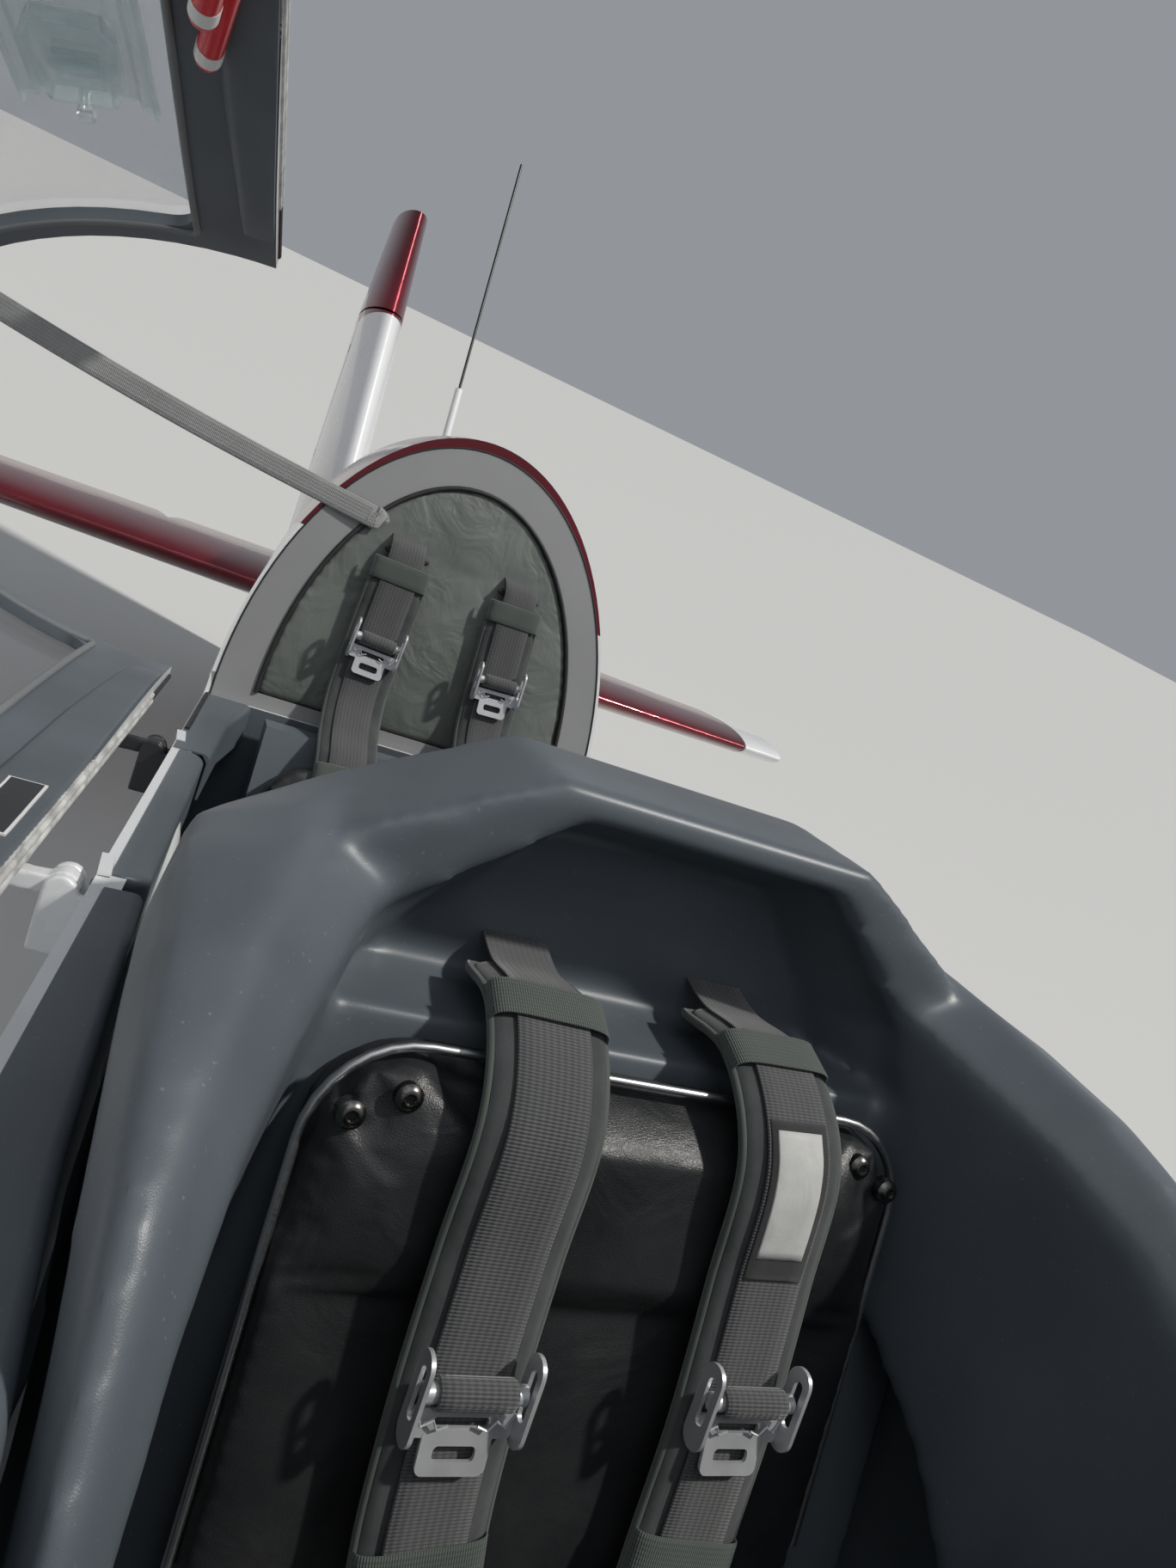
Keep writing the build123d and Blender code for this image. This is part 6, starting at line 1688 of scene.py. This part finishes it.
SCREW = screw_mesh(0.0048)
for side, side_name in ((1, "left"), (-1, "right")):
    for name, node_name, lines in (
        ("cowl_screws", "cowl_upper",
         (((1.2, 0.42, -0.012), (1.2, 1.46, -0.012), 12), ((1.2, 1.478, 0.02), (1.2, 1.478, 0.16), 4))),
        ("lower_cowl_screws", "cowl_lower",
         (((1.2, 0.42, -0.050), (1.2, 1.46, -0.050), 12), ((1.2, 1.478, -0.40), (1.2, 1.478, -0.10), 6))),
        ("turtledeck_screws", "turtledeck", (((1.0, 4.24, 0.190), (1.0, 5.50, 0.190), 12),)),
    ):
        lines = [((side * a[0], *a[1:]), (side * b[0], *b[1:]), count) for a, b, count in lines]
        points, aims = rows_on(node_name, lines, (-side, 0, 0))
        if points:
            repeat(f"{name}_{side_name}", SCREW, points, aims, STEEL, "airframe")
for name, node_name, lines, direction in (
    ("deck_screws", "front_deck",
     (((-0.30, 1.522, 0.9), (0.30, 1.522, 0.9), 11), ((-0.24, 2.28, 0.9), (0.24, 2.28, 0.9), 7)), (0, 0, -1)),
    ("belly_screws", "belly_panel",
     (((-0.26, 1.55, -0.9), (-0.24, 4.1, -0.9), 22), ((0.26, 1.55, -0.9), (0.24, 4.1, -0.9), 22)), (0, 0, 1)),
):
    points, aims = rows_on(node_name, lines, direction)
    if points:
        repeat(name, SCREW, points, aims, STEEL, "airframe")

# Engine bay and lower structure: cast engine block, heat-stained exhaust stacks, carbon
# spar, alloy floor and firewall.


def cast(name, low, high, roughness, metallic=0.7):
    """Cast or forged metal with mottled oxide."""
    made, nodes, links, shader = new_material(name)
    coords = nodes.new("ShaderNodeTexCoord").outputs["Object"]
    links.new(noise_mix(nodes, links, coords, 16.0, low, high, 8.0), shader.inputs["Base Color"])
    shader.inputs["Metallic"].default_value = metallic
    oxide = uneven_shine(nodes, links, coords, shader, 45.0, 8.0, roughness - 0.12, roughness + 0.15)
    bump(nodes, links, shader, oxide, 0.3, 0.0008)
    return made


def carbon(name):
    """Twill-woven carbon laminate under satin resin."""
    made, nodes, links, shader = new_material(name)
    coords = nodes.new("ShaderNodeTexCoord").outputs["Object"]
    slant = node(nodes, "ShaderNodeTexWave", wave_type="BANDS", bands_direction="DIAGONAL", Scale=150.0)
    links.new(coords, slant.inputs["Vector"])
    shade = nodes.new("ShaderNodeValToRGB")
    shade.color_ramp.elements[0].color = (0.012, 0.012, 0.013, 1)
    shade.color_ramp.elements[1].color = (0.045, 0.046, 0.048, 1)
    links.new(slant.outputs["Fac"], shade.inputs["Fac"])
    links.new(shade.outputs["Color"], shader.inputs["Base Color"])
    shader.inputs["Roughness"].default_value = 0.34
    shader.inputs["Coat Weight"].default_value = 0.4
    bump(nodes, links, shader, slant.outputs["Fac"], 0.08, 0.0003)
    return made


ENGINE_GREY = cast("engine_cast", (0.055, 0.057, 0.060, 1), (0.10, 0.102, 0.105, 1), 0.55)
EXHAUST_STEEL = cast("exhaust_heat_stain", (0.16, 0.10, 0.06, 1), (0.34, 0.27, 0.20, 1), 0.42, 0.9)
CARBON = carbon("carbon_laminate")
FLOOR_ALLOY = metal("floor_alloy", (0.30, 0.31, 0.32), 0.42)
for name, coat in (
    ("engine_block", ENGINE_GREY), ("exhaust_pipes", EXHAUST_STEEL), ("main_spar", CARBON),
    ("cockpit_floor", FLOOR_ALLOY), ("firewall", STEEL), ("tail_spring", CARBON), ("tail_fork", STEEL),
    ("rear_seat_shell", SHELL_GREY), ("rudder_pedals", ALLOY), ("control_sticks", STEEL),
):
    finish_node(name, coat)

# Propeller: three wide carbon blades in satin paint with light tips, on a hub.
TIP_START = 0.90


def blade_tip(c, x, s, z):
    """White on the outer tenth of each blade."""
    reach = c("SQRT", c("ADD", c("MULTIPLY", x, x), c("MULTIPLY", z, z)))
    return c("SUBTRACT", TIP_START, reach)


def blade_paint(name):
    """Satin dark grey blades with light tips."""
    made, nodes, links, shader = new_material(name)
    coords = nodes.new("ShaderNodeTexCoord").outputs["Object"]
    mask = node(nodes, "ShaderNodeMapRange", From_Min=-0.0005, From_Max=0.0005)
    links.new(rule_distance(nodes, links, blade_tip), mask.inputs["Value"])
    tip = noise_mix(nodes, links, coords, 4.0, (0.60, 0.60, 0.58, 1), (0.70, 0.70, 0.68, 1))
    body = noise_mix(nodes, links, coords, 6.0, (0.020, 0.021, 0.022, 1), (0.040, 0.041, 0.043, 1), 6.0)
    coat = mix_colours(nodes, links, mask.outputs["Result"], tip, body)
    links.new(coat, shader.inputs["Base Color"])
    nicks = uneven_shine(nodes, links, coords, shader, 180.0, 6.0, 0.28, 0.46)
    bump(nodes, links, shader, nicks, 0.06, 0.0003)
    return made


finish_node("propeller_blades", blade_paint("propeller_paint"))

# Wheels: ribbed tyres on cast alloy rims with a bolted flange, and a solid rubber tail tyre.


def turned_part(name, centre, axis, profile, material, sides, smooth_angle=35):
    """Ring turned about an axis from a closed (along, radius) profile."""
    axis = Vector(axis).normalized()
    side = axis.orthogonal().normalized()
    other = axis.cross(side)
    count = len(profile)
    vertices, faces = [], []
    for k in range(sides):
        turn = 2 * math.pi * k / sides
        ray_out = side * math.cos(turn) + other * math.sin(turn)
        vertices += [centre + axis * along + ray_out * radius for along, radius in profile]
        after = (k + 1) % sides
        for i in range(count):
            j = (i + 1) % count
            faces.append((k * count + i, k * count + j, after * count + j, after * count + i))
    return join_parts(name, [(vertices, faces)], material, smooth_angle)


TYRE_RUBBER = rubber("tyre_rubber", (0.014, 0.014, 0.0145), 0.62)
RIM_ALLOY = metal("rim_alloy", (0.55, 0.56, 0.57), 0.36)
TYRE_RADIUS = 0.175
TYRE_HALF = 0.0622
RIM_OUT = 0.0702
tyre_profile = [
    (-TYRE_HALF + 0.012, RIM_OUT), (-TYRE_HALF + 0.002, RIM_OUT + 0.018), (-TYRE_HALF, RIM_OUT + 0.044),
    (-TYRE_HALF + 0.003, TYRE_RADIUS - 0.034), (-TYRE_HALF + 0.012, TYRE_RADIUS - 0.014),
    (-0.0400, TYRE_RADIUS - 0.0035),
]
for groove in (-0.027, -0.009, 0.009, 0.027):
    crown = TYRE_RADIUS - 0.0010 - abs(groove) * 0.05
    tyre_profile += [(groove - 0.0026, crown), (groove - 0.0016, crown - 0.0050),
                     (groove + 0.0016, crown - 0.0050), (groove + 0.0026, crown)]
tyre_profile += [(-along, radius) for along, radius in reversed(tyre_profile[:6])]
rim_profile = [(-0.0575, 0.0180), (-0.0575, 0.0260), (-0.0480, 0.0300), (-0.0450, 0.0520),
               (-0.0520, 0.0600), (-0.0575, 0.0620), (-0.0575, 0.0694)]
rim_profile += [(-along, radius) for along, radius in reversed(rim_profile)]
BOLT_CIRCLE = 0.041
for side, side_name in ((1, "left"), (-1, "right")):
    hub = level(side * 0.900, 1.700, -1.125)
    wheel_body = f"main_wheel_{side_name}"
    tyre = turned_part(f"main_tyre_{side_name}", hub, (1, 0, 0), tyre_profile, TYRE_RUBBER, 96)
    rim = turned_part(f"main_rim_{side_name}", hub, (1, 0, 0), rim_profile, RIM_ALLOY, 72)
    carry(tyre, wheel_body)
    carry(rim, wheel_body)
    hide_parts(f"tyre_{side_name}")
    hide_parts(f"rim_{side_name}")
    bolt_points, bolt_aims = [], []
    for face_side in (1, -1):
        for k in range(6):
            turn = math.radians(60 * k + 12)
            out = Vector((0, math.cos(turn), math.sin(turn))) * BOLT_CIRCLE
            bolt_points.append(hub + out + Vector((face_side * 0.0462, 0, 0)))
            bolt_aims.append((face_side, 0, 0))
    repeat(
        f"rim_bolts_{side_name}", screw_mesh(0.0052), bolt_points, bolt_aims, STEEL, wheel_body
    )
finish_node("tail_wheel", TYRE_RUBBER)

# Instrument panels: black powder-coated alloy with round gauges, blank dials with plain
# ticks and pale pointers, and a row of toggle switches.
PANEL_BLACK = moulded(
    "panel_powder_black", (0.014, 0.014, 0.015, 1), (0.024, 0.024, 0.025, 1), 0.48, 1200.0, 0.08
)
DIAL_BLACK = moulded("dial_black", (0.008, 0.008, 0.008, 1), (0.012, 0.012, 0.012, 1), 0.40, 900.0, 0.02)
DIAL_WHITE = moulded("dial_white", (0.60, 0.60, 0.58, 1), (0.68, 0.68, 0.66, 1), 0.40, 900.0, 0.02)
finish_node("front_instrument_panel", PANEL_BLACK)
finish_node("rear_instrument_panel", PANEL_BLACK)


def gauge_set(place, station, gauges, switches, height):
    """Gauges and switches on the aft face of a panel."""
    across, aft, up = Vector((1, 0, 0)), level_way(0, 1, 0), level_way(0, 0, 1)
    bezels, dials, ticks, hands, levers = [], [], [], [], []
    for x, z, radius in gauges:
        centre = level(x, station, z)
        bezels.append(lathe(centre, aft, [
            (-0.001, radius), (0.006, radius), (0.0085, radius - 0.002), (0.0085, radius - 0.005),
            (0.004, radius - 0.008), (0.0005, radius - 0.0082)], 40))
        dials.append(lathe(centre, aft, [(0.0002, radius - 0.006), (0.0012, radius - 0.006)], 40))
        for k in range(25):
            turn = math.radians(-135 + 11.25 * k)
            out = up * math.cos(turn) + across * math.sin(turn)
            reach = radius - 0.0095
            long = 0.0055 if k % 4 == 0 else 0.003
            face = centre + aft * 0.0014
            ticks.append(tube([face + out * (reach - long), face + out * reach], 0.0004, 5))
        turn = math.radians(40 + 900 * x)
        out = up * math.cos(turn) + across * math.sin(turn)
        face = centre + aft * 0.0024
        hands.append(tube([face - out * 0.004, face + out * (radius - 0.014)], 0.0008, 6))
        hands.append(lathe(centre + aft * 0.0010, aft, [(0, 0.0032), (0.0022, 0.0032)], 16))
    for k in range(switches):
        centre = level(-0.11 + 0.22 * k / (switches - 1), station, height)
        levers.append(lathe(
            centre, aft, [(-0.001, 0.0055), (0.003, 0.0055), (0.0035, 0.0040), (0.007, 0.0038)], 16
        ))
        aim = aft + up * (0.3 if k % 3 else -0.3)
        levers.append(lathe(centre + aft * 0.006, aim, [(0, 0.0016), (0.012, 0.0026), (0.014, 0.0018)], 12))
    for name, parts, material, kind in (
        ("gauge_bezels", bezels, PANEL_BLACK, "panel_black"), ("gauge_dials", dials, DIAL_BLACK, "panel_black"),
        ("gauge_ticks", ticks, DIAL_WHITE, "panel_black"), ("gauge_pointers", hands, DIAL_WHITE, "panel_black"),
        ("switches", levers, STEEL, "bright_steel"),
    ):
        carry(join_parts(f"{place}_{name}", parts, material, 40), "airframe")


FRONT_GAUGES = (
    (-0.20, 0.175, 0.042), (-0.095, 0.185, 0.042), (0.0, 0.265, 0.040), (0.0, 0.165, 0.042),
    (0.095, 0.185, 0.042), (0.20, 0.175, 0.042), (-0.15, 0.085, 0.030), (0.15, 0.085, 0.030),
)
REAR_GAUGES = (
    (-0.135, 0.215, 0.040), (-0.045, 0.245, 0.040), (0.045, 0.245, 0.040), (0.135, 0.215, 0.040),
    (-0.045, 0.155, 0.040), (0.045, 0.155, 0.040),
)
gauge_set("front", 2.330, FRONT_GAUGES, 9, 0.045)
gauge_set("rear", 3.440, REAR_GAUGES, 7, 0.085)

# Stick grips: black moulded rubber over the tops of both steel sticks.
for place, s in (("front", 2.640), ("rear", 3.520)):
    grip = join_parts(f"{place}_stick_grip", [lathe(level(0, s, -0.135), level_way(0, 0, 1), [
        (0, 0.0150), (0.004, 0.0190), (0.020, 0.0180), (0.045, 0.0200), (0.070, 0.0185), (0.095, 0.0205),
        (0.118, 0.0215), (0.134, 0.0200), (0.142, 0.0140), (0.1445, 0.0040)], 32)], BLACK_RUBBER, 50)
    carry(grip, "airframe")

# Antenna: a white fibreglass base rod that carries a thin dark whip.
WHIP_FOOT = 0.733


def whip_face(centre, normal):
    """White for the base rod, dark for the whip over it."""
    return 0 if centre.z < WHIP_FOOT else 1


finish_node("antenna", WHITE, PLATE_BLACK, pick=whip_face)
